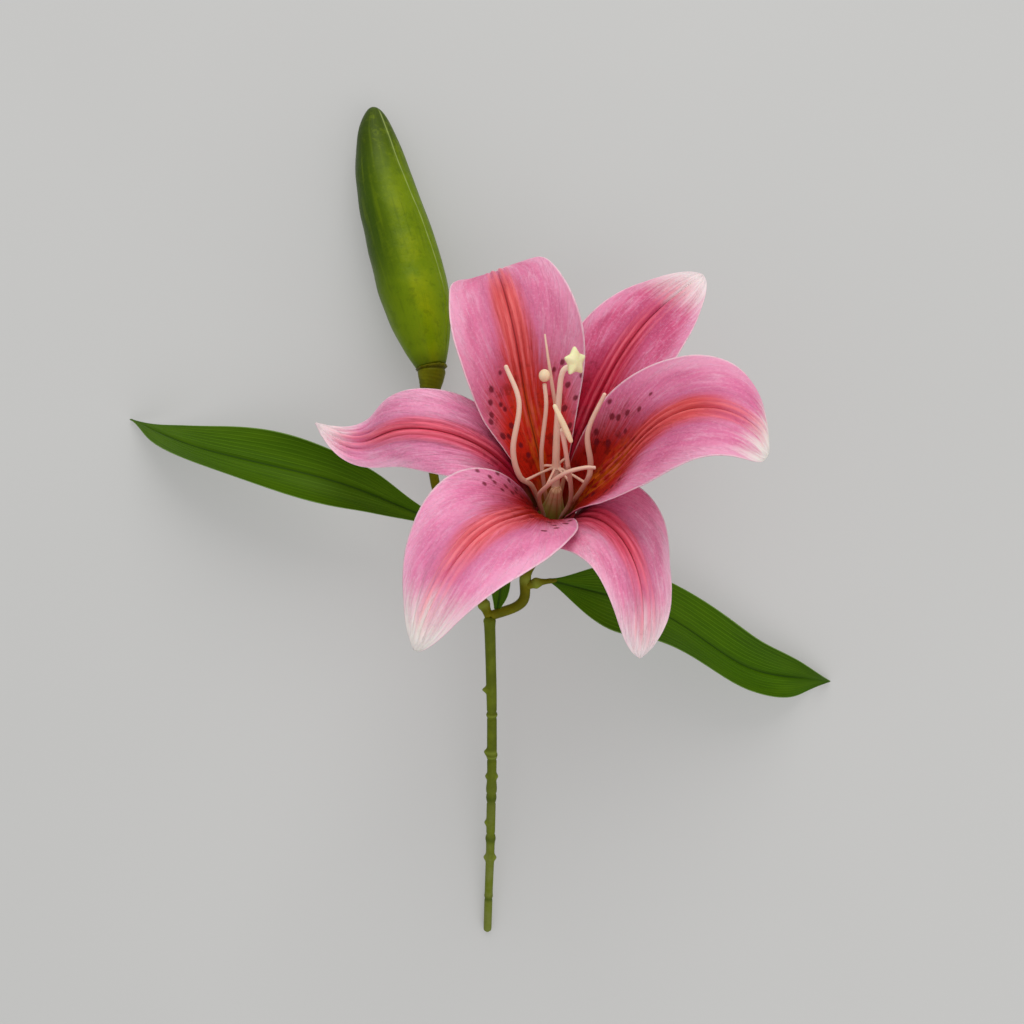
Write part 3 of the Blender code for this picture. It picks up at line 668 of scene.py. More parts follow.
class PetalPaint(Paint):
    """A petal's places and noises, and its colours in the order in which they are laid on."""

    def __init__(self, name, look):
        super().__init__(name, look["pink"])
        self.look = look
        self.along, self.across = self.value("along"), self.value("across")
        self.away = self.math("ABSOLUTE", self.across)
        self.near = self.math("ABSOLUTE", self.value("reach"))
        vein = self.times(self.across, self.math("EXPONENT", self.times(self.along, -VEIN_SPREAD)))
        self.streaks = self.streaky(vein, self.along, 85.0, 6.0, 0.0, 5.0, 0.62)
        self.lines = self.streaky(vein, self.along, 34.0, 4.5, 8.0, 4.0, 0.58)
        self.wide = self.streaky(self.across, self.along, 4.0, 5.0, 3.0)
        self.crinkle = self.fall(self.math("ABSOLUTE", self.math("SUBTRACT", self.lines, 0.5)), 0.004, 0.036)
        self.drift = self.math("SUBTRACT", self.streaks, 0.5)

    def pinks(self):
        """Pale and dark streaks, broad patches, fine mottling, paler edges, and painted highlights on the
        thin raised crinkles.
        """
        pink, pale, away, wide = self.look["pink"], self.look["pale"], self.away, self.wide
        mottle = self.noise(self.place(), 950.0, 4.0, 0.68)
        self.cover(pale, self.rise(self.streaks, 0.48, 0.8), self.rise(away, 0.12, 0.5, 0.15, 0.5))
        self.cover(shade(pink, 0.72), self.fall(self.streaks, 0.26, 0.46), 0.30)
        self.cover(pale, self.rise(wide, 0.42, 0.72), 0.42)
        self.cover(shade(pink, 0.74), self.fall(wide, 0.30, 0.48), 0.30)
        self.cover(pale, self.rise(mottle, 0.50, 0.68), 0.34)
        self.cover(shade(pink, 0.72), self.fall(mottle, 0.34, 0.48), 0.26)
        self.cover(pale, self.rise(away, 0.6, 1.0), self.rise(self.along, 0.35, 0.8), 0.55)
        # Painted highlights: a light pink along the raised crinkles, where light catches them.
        self.cover(CRINKLE_HIGHLIGHT_PINK, self.crinkle, self.rise(wide, 0.36, 0.62),
                   self.rise(away, 0.15, 0.4, 0.3, 1.0), self.rise(self.along, 0.15, 0.4), 0.26)

    def band(self):
        """The coral band along the midrib, and darker pink beside it."""
        coral, half, tip = self.look["coral"], self.look["band"], self.look["tip_start"]
        beside = self.fall(self.away, half, half + 0.4)
        self.cover(shade(self.look["pink"], 0.75), beside, self.fall(self.along, 0.75, 0.95), 0.5)
        uneven = self.add(self.away, self.drift, 0.30)
        share = self.times(self.fall(uneven, half - 0.12, half + 0.12),
                           self.fall(self.along, tip - 0.22, tip + 0.02))
        colour = self.mix(self.rise(self.streaks, 0.46, 0.75), coral, shade(coral, 1.4, 0.04))
        colour = self.mix(self.fall(self.streaks, 0.28, 0.46), colour, shade(coral, 0.72))
        self.cover(colour, share, 0.93)

    def throat(self):
        """Crimson with dark lines and stains, then an orange glow and a light foot."""
        colour, reach, glow = self.look["throat"], self.look["throat_reach"], self.look["glow"]
        curved = self.add(self.along, self.times(self.away, self.away), 0.22)
        deep = self.fall(self.add(curved, self.drift, 0.20), reach - 0.30, reach)
        lined = self.mix(self.times(self.rise(self.lines, 0.52, 0.66), 0.65), colour, shade(colour, 0.5))
        self.cover(lined, deep)
        stains = self.noise(self.place(), 210.0, 4.0, 0.66)
        self.cover(shade(colour, 0.30), deep, self.rise(stains, 0.52, 0.64), 0.55)
        blotches = self.rise(self.streaky(self.across, self.along, 9.0, 16.0, 0.0, 4.0), 0.42, 0.62)
        near_foot = self.times(self.fall(self.along, 0.16, reach - 0.1), self.fall(self.away, 0.05, 0.4))
        self.cover(glow, near_foot, blotches, 0.9)
        self.cover(glow, self.fall(self.near, 0.3, 1.3), self.rise(self.along, 0.08, 0.18),
                   self.fall(self.along, 0.3, 0.5), 0.7)
        self.cover(FOOT_OLIVE, self.fall(self.along, 0.04, 0.14), self.fall(self.away, 0.2, 0.8), 0.6)

    def tip_and_lines(self):
        """The pale tip, the rib that runs into it, painted shade as a dark line in the midrib's groove, and
        painted highlights along the ridges beside it.
        """
        along, near, look = self.along, self.near, self.look
        tip = look["tip_start"]
        self.cover(look["tip"], self.rise(self.add(along, self.drift, 0.16), tip - 0.06, 0.99))
        self.cover(look["tip"], self.fall(self.away, 0.02, 0.11), self.rise(along, tip - 0.06, tip + 0.08),
                   look["streak"])
        # Painted shade: the dark line along the midrib's groove.
        self.cover(look["line"], self.fall(near, 0.1, 0.65), self.rise(along, 0.04, 0.15),
                   self.fall(along, tip - 0.18, tip - 0.02), 0.85)
        # Painted highlights: lighter coral along the raised ridges beside the midrib.
        first = self.times(self.rise(near, 0.8, 1.3), self.fall(near, 1.7, 2.3))
        second = self.times(self.rise(near, 3.2, 3.8), self.fall(near, 4.0, 4.7))
        self.cover(shade(look["coral"], 1.25, 0.1), self.add(first, second, 0.7),
                   self.rise(along, 0.2, 0.4), self.fall(along, 0.85, 1.0),
                   self.rise(self.streaks, 0.36, 0.62, 0.15, 0.55))

    def spots_and_rim(self):
        ragged = self.add(self.value("spot"), self.drift, 0.7)
        self.cover(SPOT_MAROON, self.fall(ragged, 0.0, 0.75), 0.85)
        self.cover(RIM_PINK, self.rise(self.away, 0.965, 0.995), self.rise(self.along, 0.1, 0.3), 0.8)

    def outside(self):
        """The duller back of the petal, with the inside's colours kept for its upper face."""
        inside, self.colour = self.colour, self.look["pink"]
        self.cover(self.look["pale"], self.rise(self.streaks, 0.35, 0.8, 0.1, 0.6))
        self.cover(OUTSIDE_RIB, self.fall(self.away, 0.03, 0.22), self.fall(self.along, 0.6, 0.95), 0.65)
        self.cover(OUTSIDE_FOOT, self.fall(self.along, 0.05, 0.3), 0.6)
        self.cover(inside, self.value("inner"))


def petal_material(name, look):
    """Pink with pale streaks, a coral band with a dark midrib line, a deep throat, spots and a pale tip."""
    paint = PetalPaint(name, look)
    paint.pinks()
    paint.band()
    paint.throat()
    paint.tip_and_lines()
    paint.spots_and_rim()
    paint.outside()
    grain = paint.noise(paint.place(), 1400.0, 2.0)
    height = paint.add(paint.times(paint.streaks, 0.7), grain, 0.2)
    height = paint.add(height, paint.crinkle, 0.55)
    return paint.finish(
        paint.rise(paint.streaks, 0.3, 0.7, 0.56, 0.44), height, 0.0003, 0.7,
        Subsurface_Weight=0.04, Subsurface_Scale=0.002, Specular_IOR_Level=0.14)


def leaf_material(name, shape):
    """Deep green with lighter veins along the leaf, painted shade as a dark line along the midrib's crease,
    and a thin pale edge.
    """
    green = shape["green"]
    paint = Paint(name, shade(green, 0.78))
    along, across = paint.value("along"), paint.value("across")
    away, near = paint.math("ABSOLUTE", across), paint.math("ABSOLUTE", paint.value("reach"))
    grain = paint.streaky(across, along, 62.0, 6.0, 0.0, 4.0, 0.6)
    wide = paint.streaky(across, along, 2.2, 4.0, 5.0, 2.0)
    veins = paint.add(paint.times(away, shape["veins"]), wide, 0.5)
    beside_vein = paint.math("PINGPONG", veins, 0.5)
    paint.cover(shade(green, 1.18), paint.rise(grain, 0.35, 0.7))
    yellower = (green[0] * 1.5, green[1] * 1.3, green[2] * 1.6)
    paint.cover(yellower, paint.rise(wide, 0.4, 0.7), 0.45)
    paint.cover(LEAF_VEIN, paint.fall(beside_vein, 0.0, 0.085), paint.rise(near, 0.9, 1.8),
                paint.fall(away, 0.85, 0.97), 0.75)
    # Painted shade: darker green along the midrib's crease.
    paint.cover(LEAF_CREASE_SHADE, paint.fall(near, 0.1, 0.75), paint.fall(along, 0.8, 0.95), 0.75)
    paint.cover(LEAF_RIM, paint.rise(away, 0.965, 0.995), 0.75)
    upper, paint.colour = paint.colour, LEAF_UNDERSIDE
    paint.cover(upper, paint.value("inner"))
    ripples = paint.math("COSINE", paint.times(veins, 2 * math.pi))
    height = paint.add(paint.times(grain, 0.5), ripples, 0.35)
    return paint.finish(paint.rise(grain, 0.3, 0.7, 0.5, 0.42), height, 0.0002, 0.45, Specular_IOR_Level=0.05)


def bud_material():
    """Glossy green that turns yellow-green towards the middle and the foot, with a light mould seam. Painted
    light and shade: a dark shaded side, a lighter lit side, and a dark ring at the foot in the cup.
    """
    paint = Paint("bud", (0.038, 0.076, 0.0003))
    along, side = paint.value("along"), paint.value("side")
    seam = paint.math("ABSOLUTE", paint.value("seam"))
    cloud = paint.noise(paint.place(), 55.0, 4.0, 0.6)
    speckle = paint.noise(paint.place(), 420.0, 3.0, 0.6)
    blotch = paint.noise(paint.place(), 240.0, 5.0, 0.66)
    streak = paint.streaky(side, along, 7.0, 3.0)
    # Painted light and shade: the dark base green stands for the bud's shaded side, and this lighter green
    # for its lit side.
    paint.cover((0.128, 0.196, 0.0004), paint.rise(side, -0.55, 0.25))
    paint.cover((0.030, 0.052, 0.0004), paint.rise(along, 0.6, 0.95), 0.85)
    paint.cover((0.190, 0.290, 0.0006), paint.fall(along, 0.12, 0.5), 0.7)
    paint.cover((0.28, 0.335, 0.0005), paint.rise(side, -0.15, 0.2), paint.fall(side, 0.35, 0.8),
                paint.fall(along, 0.35, 0.8), paint.rise(cloud, 0.36, 0.60), 0.8)
    # These light patches are stronger on the lit side, partly painted light.
    paint.cover((0.19, 0.26, 0.0008), paint.rise(blotch, 0.50, 0.66), paint.rise(side, -0.6, 0.2, 0.10, 0.34))
    paint.cover((0.058, 0.10, 0.0005), paint.fall(blotch, 0.34, 0.48), 0.32)
    paint.cover((0.17, 0.24, 0.001), paint.rise(streak, 0.5, 0.7), 0.3)
    paint.cover((0.055, 0.10, 0.0005), paint.fall(streak, 0.3, 0.45), 0.35)
    # Painted shade: darker green at the bud's foot, where the cup's lip shades it.
    paint.cover((0.05, 0.07, 0.001), paint.fall(along, 0.0, 0.06), 0.5)
    paint.cover((0.05, 0.09, 0.0005), paint.rise(speckle, 0.66, 0.78), 0.3)
    paint.cover(BUD_SEAM, paint.fall(seam, 0.10, 0.42), paint.rise(along, 0.22, 0.3),
                paint.fall(along, 0.95, 0.99), 0.6)
    height = paint.add(paint.times(cloud, 0.8), blotch, 0.5)
    height = paint.add(height, speckle, 0.25)
    return paint.finish(paint.rise(cloud, 0.3, 0.7, 0.34, 0.44), height, 0.0008, 0.5, Specular_IOR_Level=0.09)


def stem_material(name, low, high, band):
    """Moulded olive green, paler towards the cut end, with tinted rings and worn light marks."""
    paint = Paint(name, low)
    grain = paint.noise(paint.place(), 900.0, 4.0, 0.6)
    patch = paint.noise(paint.place(), 130.0, 3.0, 0.55)
    paint.cover(high, paint.rise(paint.value("along"), 0.25, 0.55))
    paint.cover(shade(high, 1.35), paint.rise(patch, 0.4, 0.7))
    paint.cover(shade(high, 0.6), paint.rise(grain, 0.5, 0.7), 0.25)
    paint.cover(band, paint.value("ring"), 0.8)
    paint.cover(WORN_GREEN, paint.value("nub"), 0.8)
    height = paint.add(paint.times(grain, 0.4), patch, 0.8)
    return paint.finish(paint.rise(patch, 0.3, 0.7, 0.5, 0.4), height, 0.0004, 0.4, Specular_IOR_Level=0.07)


def waxy_material(name, foot, tip, blotch, subsurface):
    """Soft plastic whose colour drifts from the foot to the tip."""
    paint = Paint(name, foot)
    patch = paint.noise(paint.place(), 260.0, 3.0)
    grain = paint.noise(paint.place(), 1500.0, 2.0)
    paint.cover(tip, paint.rise(paint.value("along"), 0.1, 0.9))
    paint.cover(blotch, paint.rise(patch, 0.42, 0.7), 0.5)
    height = paint.add(paint.times(patch, 0.7), grain, 0.3)
    return paint.finish(paint.rise(grain, 0.3, 0.7, 0.5, 0.42), height, 0.0002, 0.4,
                        Subsurface_Weight=subsurface, Subsurface_Scale=0.003, Specular_IOR_Level=0.2)


def ovary_material():
    """Fluted and striped, green at the foot and beige with brown grooves above."""
    paint = Paint("ovary_green", (0.42, 0.46, 0.07))
    patch = paint.noise(paint.place(), 300.0, 4.0)
    paint.cover((0.90, 0.64, 0.40), paint.rise(paint.value("along"), 0.30, 0.85))
    paint.cover((0.56, 0.24, 0.07), paint.fall(paint.value("flute"), 0.1, 0.6), 0.6)
    paint.cover((0.40, 0.42, 0.10), paint.rise(patch, 0.45, 0.7), 0.4)
    return paint.finish(0.5, patch, 0.0003, 0.4, Specular_IOR_Level=0.15)


def calyx_material():
    """Green below the bloom, and dark crimson only on the face between the petals' feet, painted shade in the
    gaps there.
    """
    paint = Paint("receptacle_green", (0.10, 0.12, 0.006))
    along = paint.value("along")
    patch = paint.noise(paint.place(), 160.0, 3.0)
    paint.cover((0.17, 0.18, 0.015), paint.rise(patch, 0.35, 0.7))
    paint.cover((0.42, 0.30, 0.12), paint.rise(along, 0.55, 0.9), 0.7)
    # Painted shade: the throat's crimson darkened on the face that shows between the petals' feet.
    paint.cover((0.20, 0.006, 0.010), paint.rise(along, 0.97, 1.0))
    return paint.finish(0.5, patch, 0.0004, 0.4, Specular_IOR_Level=0.07)


# ---- petals and leaves ----

def spot_edges(shape, share, across):
    """Distance from the edge of the nearest spot, below 0 inside it."""
    half = half_widths(shape, share)
    nearest = np.full((len(share), len(across)), NO_SPOT)
    for place, turn, radius in shape["spots"]:
        down = (share[:, None] - place) * shape["length"] * SPOT_STRETCH
        over = (across[None, :] - turn) * half[:, None]
        nearest = np.minimum(nearest, np.hypot(down, over) - radius)
    return nearest


def petal_relief(shape, share, across, reach):
    """Height above the plain sheet: midrib groove and ridges, creases, veins and a wavy edge."""
    s, t = share[:, None], across[None, :]
    body = rise(s, 0.03, 0.15) * (1 - rise(s, 0.93, 1.0))
    height = -shape["fold"] * bell(reach, 0.6) * body
    for place, width, size in PETAL_RIDGES:
        height += size * shape["ridge"] * (bell(reach - place, width) + bell(reach + place, width)) * body
    for place, start, end, size in shape["creases"]:
        extent = rise(s, start, start + 0.12) * (1 - rise(s, end - 0.12, end))
        height += 1.6 * size * bell(t - place, 0.045) * extent
        height -= 1.1 * size * bell(t - place * 1.4, 0.05) * extent
    spread = np.exp(-VEIN_SPREAD * s)
    height += 0.06 * np.sin(34 * t * spread + 2.0 * np.sin(5 * s)) * body * rise(np.abs(t), 0.2, 0.5)
    crumple = np.sin(61 * t * spread + 9 * s) * np.sin(23 * s + 7 * t + shape["heading"])
    height += 0.10 * crumple * body * rise(np.abs(t), 0.15, 0.45)
    wave = np.sin(2 * math.pi * (2.6 * s + 0.13 * shape["heading"]) + np.sign(t))
    height += PETAL_WAVE * wave * np.abs(t) ** 4 * rise(s, 0.25, 0.5) * (1 - rise(s, 0.85, 1.0))
    return height


def leaf_relief(shape, share, across, reach):
    """Height above the plain sheet: midrib groove, veins and a wavy edge."""
    s, t = share[:, None], across[None, :]
    body = rise(s, 0.02, 0.12) * (1 - rise(s, 0.85, 1.0))
    height = -LEAF_FOLD * bell(reach, 0.9) * body * min(1.0, shape["width"] / 20)
    height += 0.06 * np.cos(2 * math.pi * shape["veins"] * np.abs(t)) * body
    wave = np.sin(2 * math.pi * (2.2 * s + 0.2) + 1.5 * np.sign(t))
    extent = rise(s, 0.1, 0.3) * (1 - rise(s, 0.8, 1.0))
    height += LEAF_WAVE * shape["width"] / 30 * wave * np.abs(t) ** 3 * extent
    return height


def nudged(nudge, share, across):
    """Shift of the grid that moves one place on a petal's edge along X and Y."""
    place, turn, along_x, along_y = nudge
    amount = bell(share[:, None] - place, 0.07) * bell(across[None, :] - turn, 0.35)
    return amount[..., None] * np.array([along_x, along_y, 0.0])


def build_sheets(shapes, surface, relief, counts, thicknesses, material):
    """One piece for each shape. thicknesses: at the midrib and at the edge."""
    rows, columns = counts
    share, across = np.linspace(0, 1, rows), crowded(columns)
    middle, edge = thicknesses
    for name, shape in shapes.items():
        grid = surface(shape, share, across)
        reach = half_widths(shape, share)[:, None] * across[None, :]
        grid = grid + grid_normals(grid) * relief(shape, share, across, reach)[..., None]
        for nudge in shape.get("nudges", ()):
            grid = grid + nudged(nudge, share, across)
        thickness = np.tile(middle + (edge - middle) * rise(np.abs(across), 0.7, 1.0), (rows, 1))
        values = {
            "along": np.tile(share[:, None], (1, columns)),
            "across": np.tile(across, (rows, 1)),
            "reach": reach,
        }
        if "spots" in shape:
            values["spot"] = spot_edges(shape, share, across)
        made = add_slab(name, grid, thickness, values, material(name, shape))


# ---- stem, stalks and bud ----

def add_tube(name, path, radii, values, material):
    """A closed tube whose along value runs from 0 at its foot to 1 at its tip."""
    count, sides = radii.shape
    points, faces = loft(path, radii)
    filled = {"along": np.tile(np.linspace(0, 1, count)[:, None], (1, sides)), **values}
    return add_mesh(name, points, faces, filled, material)


def build_main_stem(material):
    rows, sides = 500, 40
    share, turn = np.linspace(0, 1, rows), ring_turns(sides)
    path = ease(STEM_PATH, share)
    length = path_length(path)
    s = share[:, None]
    radii = STEM_RADII[0] + (STEM_RADII[1] - STEM_RADII[0]) * s + np.zeros((rows, sides))
    radii += STEM_FORK_SWELL * bell((1 - s) * length, STEM_FORK_LENGTH)
    for place, height, half in STEM_COLLARS:
        radii += height * bell((s - place) * length, half)
    for place, half in STEM_GROOVES:
        radii -= STEM_GROOVE_DEPTH * bell((s - place) * length, half)
    nub = np.zeros((rows, sides))
    for place, heading, height in STEM_SCARS:
        side = np.maximum(0.0, np.cos(turn - math.radians(heading))) ** 6
        scar = side * bell((s - place) * length, SCAR_LENGTH)
        radii += height * scar
        nub = np.maximum(nub, scar)
    for place, half in STEM_LIGHT_RINGS:
        nub = np.maximum(nub, 0.7 * bell((s - place) * length, half))
    radii += wobble(s, turn, 3, 0.10)
    radii *= closing(s * length, 1.2, 0.25) * closing((1 - s) * length, 2.4, 0.04)
    ring = np.zeros((rows, 1))
    for place, half in STEM_BANDS:
        ring = np.maximum(ring, bell((s - place) * length, half))
    made = add_tube("main_stem", path, radii, {"ring": np.tile(ring, (1, sides)), "nub": nub}, material)


def build_stalks(material):
    rows, sides = 90, 28
    share, turn = np.linspace(0, 1, rows), ring_turns(sides)
    s = share[:, None]
    for seed, (name, stalk) in enumerate(STALKS.items()):
        path = ease(stalk["path"], share)
        length = path_length(path)
        start, end = stalk["radii"]
        place, height = stalk["node"]
        node = bell((s - place) * length, STALK_NODE_LENGTH)
        radii = start + (end - start) * s + wobble(s, turn, 20 + seed, 0.12)
        radii = radii * round_ends(s, length, 1.2) + height * node
        ring = np.tile(0.6 * bell(s * length, 1.5), (1, sides))
        made = add_tube(name, path, radii, {"ring": ring, "nub": np.tile(0.8 * node, (1, sides))}, material)


def bud_profile(share):
    swell = np.sin(math.pi / 2 * np.clip(share / BUD_WIDEST, 0, 1)) ** BUD_SWELL
    fall = np.clip((share - BUD_WIDEST) / (1 - BUD_WIDEST), 0, 1)
    return np.where(share < BUD_WIDEST, BUD_FOOT + (1 - BUD_FOOT) * swell,
                    np.maximum(1 - fall**2, BUD_POINT) ** BUD_BLUNT)


def build_bud():
    rows, sides = 260, 144
    turn = ring_turns(sides)
    s = 1 - (1 - np.linspace(0, 1, rows)[:, None]) ** 1.6
    seam_turn = math.radians(-18) - math.radians(34) * s
    radii = BUD_RADIUS * bud_profile(s) * (1 + BUD_RIDGE * np.cos(3 * turn))
    seam = turned_from(turn, seam_turn) * radii
    body = rise(s, 0.02, 0.1) * (1 - rise(s, 0.96, 1.0))
    for place, heading, length, height in BUD_MARKS:
        around = turned_from(turn, math.radians(heading)) * BUD_RADIUS
        radii = radii + height * bell((s - place) * BUD_LENGTH, length) * bell(around, 1.1)
    radii += (0.30 * bell(seam, 0.35) - 0.20 * bell(seam + 1.1, 0.6) - 0.15 * bell(seam - 1.1, 0.6)) * body
    second = turned_from(turn, seam_turn + math.radians(150)) * radii
    radii += (0.22 * bell(second, 0.4) + wobble(s, turn, 11, 0.35)) * body
    path = BUD_BASE + s * (BUD_TIP - BUD_BASE) + np.sin(math.pi * s**BUD_BOW_PLACE) * BUD_BOW
    values = {
        "along": np.tile(s, (1, sides)),
        "side": np.tile(np.cos(turn), (rows, 1)),
        "seam": seam,
    }
    made = add_tube("bud", path, radii, values, bud_material())


def build_cup(material):
    """The collar under the bud, with a thin lip torn in places."""
    rows, sides = 60, 72
    share, turn = np.linspace(0, 1, rows), ring_turns(sides)
    s = share[:, None]
    down = unit(BUD_BASE - BUD_TIP)
    path = BUD_BASE + down * (CLEARANCE + CUP_LENGTH * (1 - s)) + (1 - s) ** CUP_CURVE * CUP_BEND
    radii = ease(CUP_RADII, share)[:, None] + wobble(s, turn, 31, 0.12)
    radii += (0.35 + 0.30 * wobble(0.0, 5 * turn, 33, 3.0)) * bell(s - 0.97, 0.05)
    radii -= 0.45 * bell(s - 0.86, 0.05)
    ring = np.tile(0.9 * bell(s - 0.88, 0.05), (1, sides))
    made = add_tube("bud_cup", path, radii, {"ring": ring}, material)


# ---- throat, stamens and pistil ----

def add_fluted(name, stations, ends, lobes, depth, material):
    """A turned body along the bloom's axis, with flutes round it."""
    axis, _, _ = bloom_axes()
    share, turn = np.linspace(0, 1, 60), ring_turns(60)
    sizes = ease([radius for _, radius in stations], share) * ends(share)
    places = np.interp(share, np.linspace(0, 1, len(stations)), [distance for distance, _ in stations])
    flute = np.abs(np.cos(lobes / 2 * turn))
    radii = sizes[:, None] * (1 - depth * (1 - flute**0.7))
    path = BLOOM_BASE + places[:, None] * axis
    return add_tube(name, path, radii, {"flute": np.tile(flute, (len(share), 1))}, material)


def build_throat():
    made = add_fluted("receptacle", RECEPTACLE, np.ones_like, 6, 0.05, calyx_material())
    made = add_fluted("ovary", OVARY, lambda share: closing(1 - share, 0.1, 0.3), 8, 0.14, ovary_material())


def filament_path(heading, points, share):
    axis, _, _ = bloom_axes()
    outward, _ = radial(heading)
    root = BLOOM_BASE + CLEARANCE * axis + FILAMENT_RING * outward
    return ease([root, *points], share)


def style_path(share):
    axis, _, _ = bloom_axes()
    foot = BLOOM_BASE + axis * (OVARY[-1][0] + STYLE_GAP)
    return ease([foot, *STYLE_PATH], share)


def add_rod(name, path, share, radii, sides, material):
    """A tube with rounded ends from radii at its foot, middle and tip."""
    sizes = ease(radii, share)
    sizes = sizes * round_ends(share, path_length(path), sizes)
    return add_tube(name, path, np.tile(sizes[:, None], (1, sides)), {}, material)


def build_stamens(material, column):
    """The bare filaments and, in a paler material that holds painted light, the style."""
    share = end_crowded(90)
    for name, (heading, points, radii) in FILAMENTS.items():
        made = add_rod(name, filament_path(heading, points, share), share, radii, 18, material)
    made = add_rod("style", style_path(share), share, STYLE_RADII, 20, column)


def grooved(turn, *grooves):
    """A factor on a tube's radius. grooves: turn, depth and half width of each."""
    return 1 - sum(depth * bell(turned_from(turn, place), width) for place, depth, width in grooves)


def build_anthers(material):
    """The round anther on the tip of filament_2 and the loose club-shaped one."""
    share, turn = end_crowded(40), ring_turns(36)
    centre = np.array(FILAMENTS["filament_2"][1][-1]) + np.array([0.0, KNOB_RADIUS + CLEARANCE, KNOB_RISE])
    path = centre + (2 * share[:, None] - 1) * np.array([0.0, KNOB_RADIUS, 0.0])
    sizes = KNOB_RADIUS * KNOB_FLATNESS * np.sqrt(np.clip(1 - (2 * share - 1) ** 2, 0.005, 1))
    radii = sizes[:, None] * grooved(turn, (-1.3, 0.10, 0.25), (1.9, 0.06, 0.3))
    made = add_tube("anther_knob", path, radii, {}, material)
    path = ease(CLUB_ENDS, share)
    sizes = CLUB_RADIUS * (0.62 + 0.38 * np.sin(math.pi * share**0.8))
    sizes = sizes * round_ends(share, path_length(path), 1.0)
    made = add_tube("anther_club", path, sizes[:, None] * grooved(turn, (-1.6, 0.12, 0.3)), {}, material)


def build_stigma(material):
    """A fleshy star at the end of the style: straight edges from each point to each notch."""
    share, turn = end_crowded(40), ring_turns(100)
    path = STIGMA_CENTRE + unit(STIGMA_FACING) * STIGMA_LENGTH * (share[:, None] - 0.5)
    profile = np.clip(1 - np.abs(2 * share - 1) ** 2.2, 0.0016, 1)[:, None] ** 0.5
    half = math.pi / STIGMA_LOBES
    within = np.abs((turn + STIGMA_TURN) % (2 * half) - half)
    slope = (math.cos(half) - STIGMA_NOTCH) / math.sin(half)
    edge = STIGMA_NOTCH / (np.cos(within) - slope * np.sin(within))
    radii = STIGMA_RADIUS * profile * np.minimum(edge, STIGMA_POINT)
    made = add_tube("stigma", path, radii, {}, material)


def crossing(path, place):
    """The point of a path that is level with a place, measured along the bloom's axis."""
    axis, _, _ = bloom_axes()
    return path[np.abs((path - place) @ axis).argmin()]


def web_shapes():
    """A soft ring round the style and a thin rod from it to each filament."""
    axis, _, _ = bloom_axes()
    fine = np.linspace(0, 1, 400)
    hub = crossing(style_path(fine), BLOOM_BASE + axis * WEB_HEIGHT)
    turns = np.linspace(0, 2 * math.pi, 73)
    circle = np.array([hub + (WEB_HUB - WEB_ROD) * radial(math.degrees(turn))[0] for turn in turns])
    yield loft(circle, np.full((len(turns), WEB_SIDES), WEB_ROD))
    share = end_crowded(40)
    for name, (heading, points, _) in FILAMENTS.items():
        lowered = WEB_DROP if name == "filament_1" else 0.0
        end = crossing(filament_path(heading, points, fine), hub - axis * lowered)
        outward = unit(end - hub)
        start = hub + outward * (WEB_HUB - WEB_ROD)
        sag = np.sin(math.pi * share)[:, None] * axis * WEB_SAG
        path = start + share[:, None] * (end - outward * 0.5 - start) + sag
        sizes = WEB_ROD * (0.9 + 0.35 * np.abs(2 * share - 1) ** 3)
        sizes = sizes * round_ends(share, path_length(path), 0.4)
        yield loft(path, np.tile(sizes[:, None], (1, WEB_SIDES)))


def build_web(material):
    shapes = list(web_shapes())
    points = np.concatenate([part for part, _ in shapes])
    faces, first = [], 0
    for part, part_faces in shapes:
        faces += [[first + corner for corner in face] for face in part_faces]
        first += len(part)
    made = add_mesh("stamen_web", points, faces, {"along": np.full(len(points), 0.4)}, material)


# ---- stage ----

def build_floor():
    """A pale, slightly uneven table top."""
    mesh = bpy.data.meshes.new("floor")
    corners = [(x * FLOOR_HALF, y * FLOOR_HALF, 0) for x, y in ((-1, -1), (1, -1), (1, 1), (-1, 1))]
    mesh.from_pydata(corners, [], [(0, 1, 2, 3)])
    floor = bpy.data.objects.new("floor", mesh)
    floor.location.z = -0.0004
    bpy.context.scene.collection.objects.link(floor)
    paint = Paint("floor", (0.360, 0.357, 0.348))
    cloud = paint.noise(paint.place(), 2.5, 3.0)
    paint.cover((0.375, 0.372, 0.363), paint.rise(cloud, 0.3, 0.7))
    paint.put(paint.shader.inputs["Emission Color"], (1.0, 0.995, 0.975))
    mesh.materials.append(paint.finish(0.75, Specular_IOR_Level=0.1, Emission_Strength=FLOOR_GLOW))


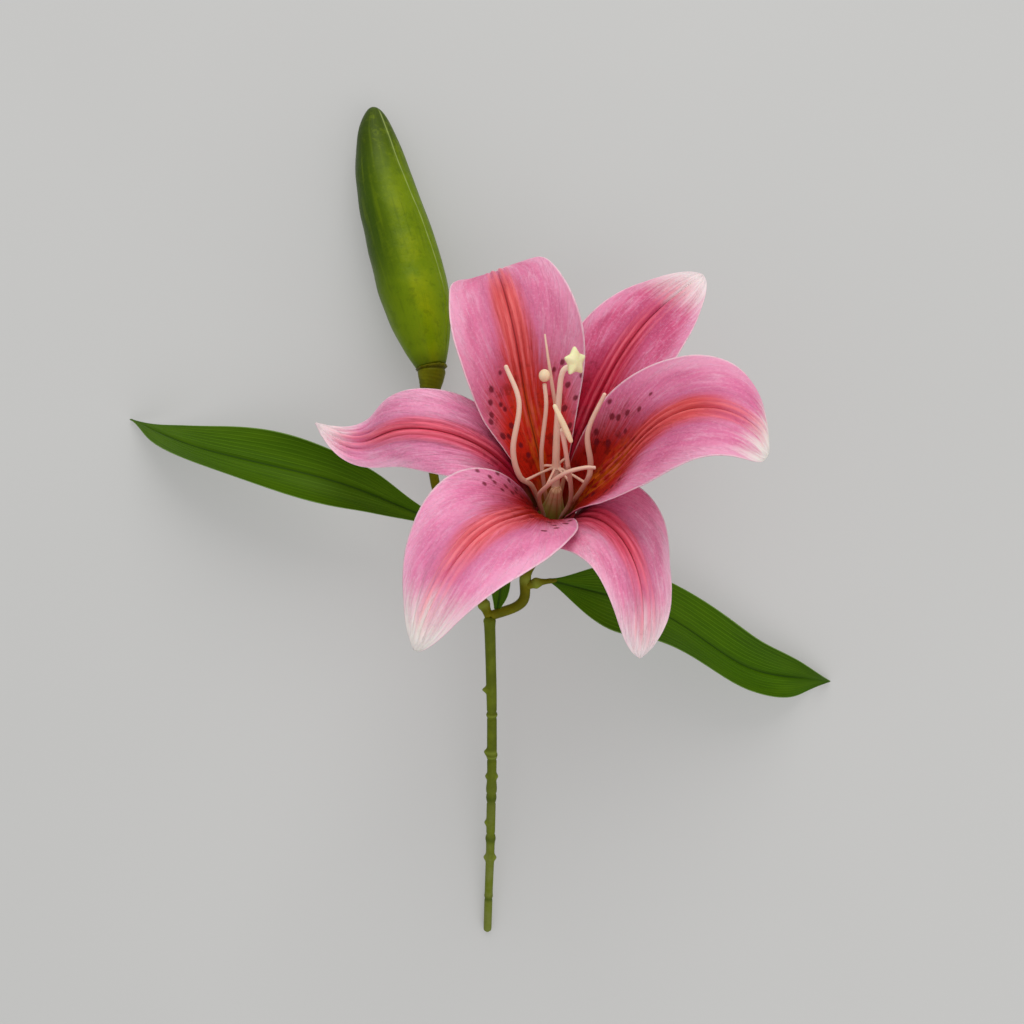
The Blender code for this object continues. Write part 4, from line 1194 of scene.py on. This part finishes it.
def add_light(name, place, size, power):
    light = bpy.data.lights.new(name, "AREA")
    light.shape = "DISK"
    light.size = size
    light.energy = power
    made = bpy.data.objects.new(name, light)
    made.location = place
    made.rotation_euler = (Vector(LIGHT_TARGET) - Vector(place)).to_track_quat("-Z", "Y").to_euler()
    bpy.context.scene.collection.objects.link(made)


def build_camera(scene):
    data = bpy.data.cameras.new("camera")
    data.lens = CAMERA_LENS
    data.sensor_width = CAMERA_SENSOR
    data.clip_start = 0.01
    camera = bpy.data.objects.new("camera", data)
    camera.location = CAMERA_PLACE
    scene.collection.objects.link(camera)
    scene.camera = camera


def build_stage():
    build_floor()
    scene = bpy.context.scene
    scene.view_settings.view_transform = "Standard"
    scene.world = bpy.data.worlds.new("studio")
    scene.world.use_nodes = True
    background = scene.world.node_tree.nodes["Background"]
    background.inputs["Color"].default_value = DOME_COLOUR
    background.inputs["Strength"].default_value = DOME_STRENGTH
    add_light("key", KEY_PLACE, KEY_SIZE, KEY_POWER)
    add_light("fill", FILL_PLACE, FILL_SIZE, FILL_POWER)
    build_camera(scene)


def main():
    for found in list(bpy.data.objects):
        bpy.data.objects.remove(found)
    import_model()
    build_main_stem(stem_material("stem_green", *STEM_GREENS))
    build_stalks(stem_material("branch_green", *BRANCH_GREENS))
    build_cup(stem_material("cup_green", *CUP_GREENS))
    build_bud()
    build_sheets(LEAVES, leaf_sheet, leaf_relief, (LEAF_ROWS, LEAF_COLUMNS), LEAF_THICKNESSES,
                 leaf_material)
    build_sheets(PETALS, petal_sheet, petal_relief, (PETAL_ROWS, PETAL_COLUMNS), PETAL_THICKNESSES,
                 petal_material)
    build_throat()
    beige = waxy_material("stamen_beige", *STAMEN_BEIGES, 0.10)
    build_stamens(beige, waxy_material("style_peach_lit", *STYLE_PEACHES_LIT, 0.14))
    build_anthers(waxy_material("anther_cream", *ANTHER_CREAMS, 0.08))
    build_stigma(waxy_material("stigma_lime", *STIGMA_LIMES, 0.08))
    build_web(beige)
    build_stage()


main()
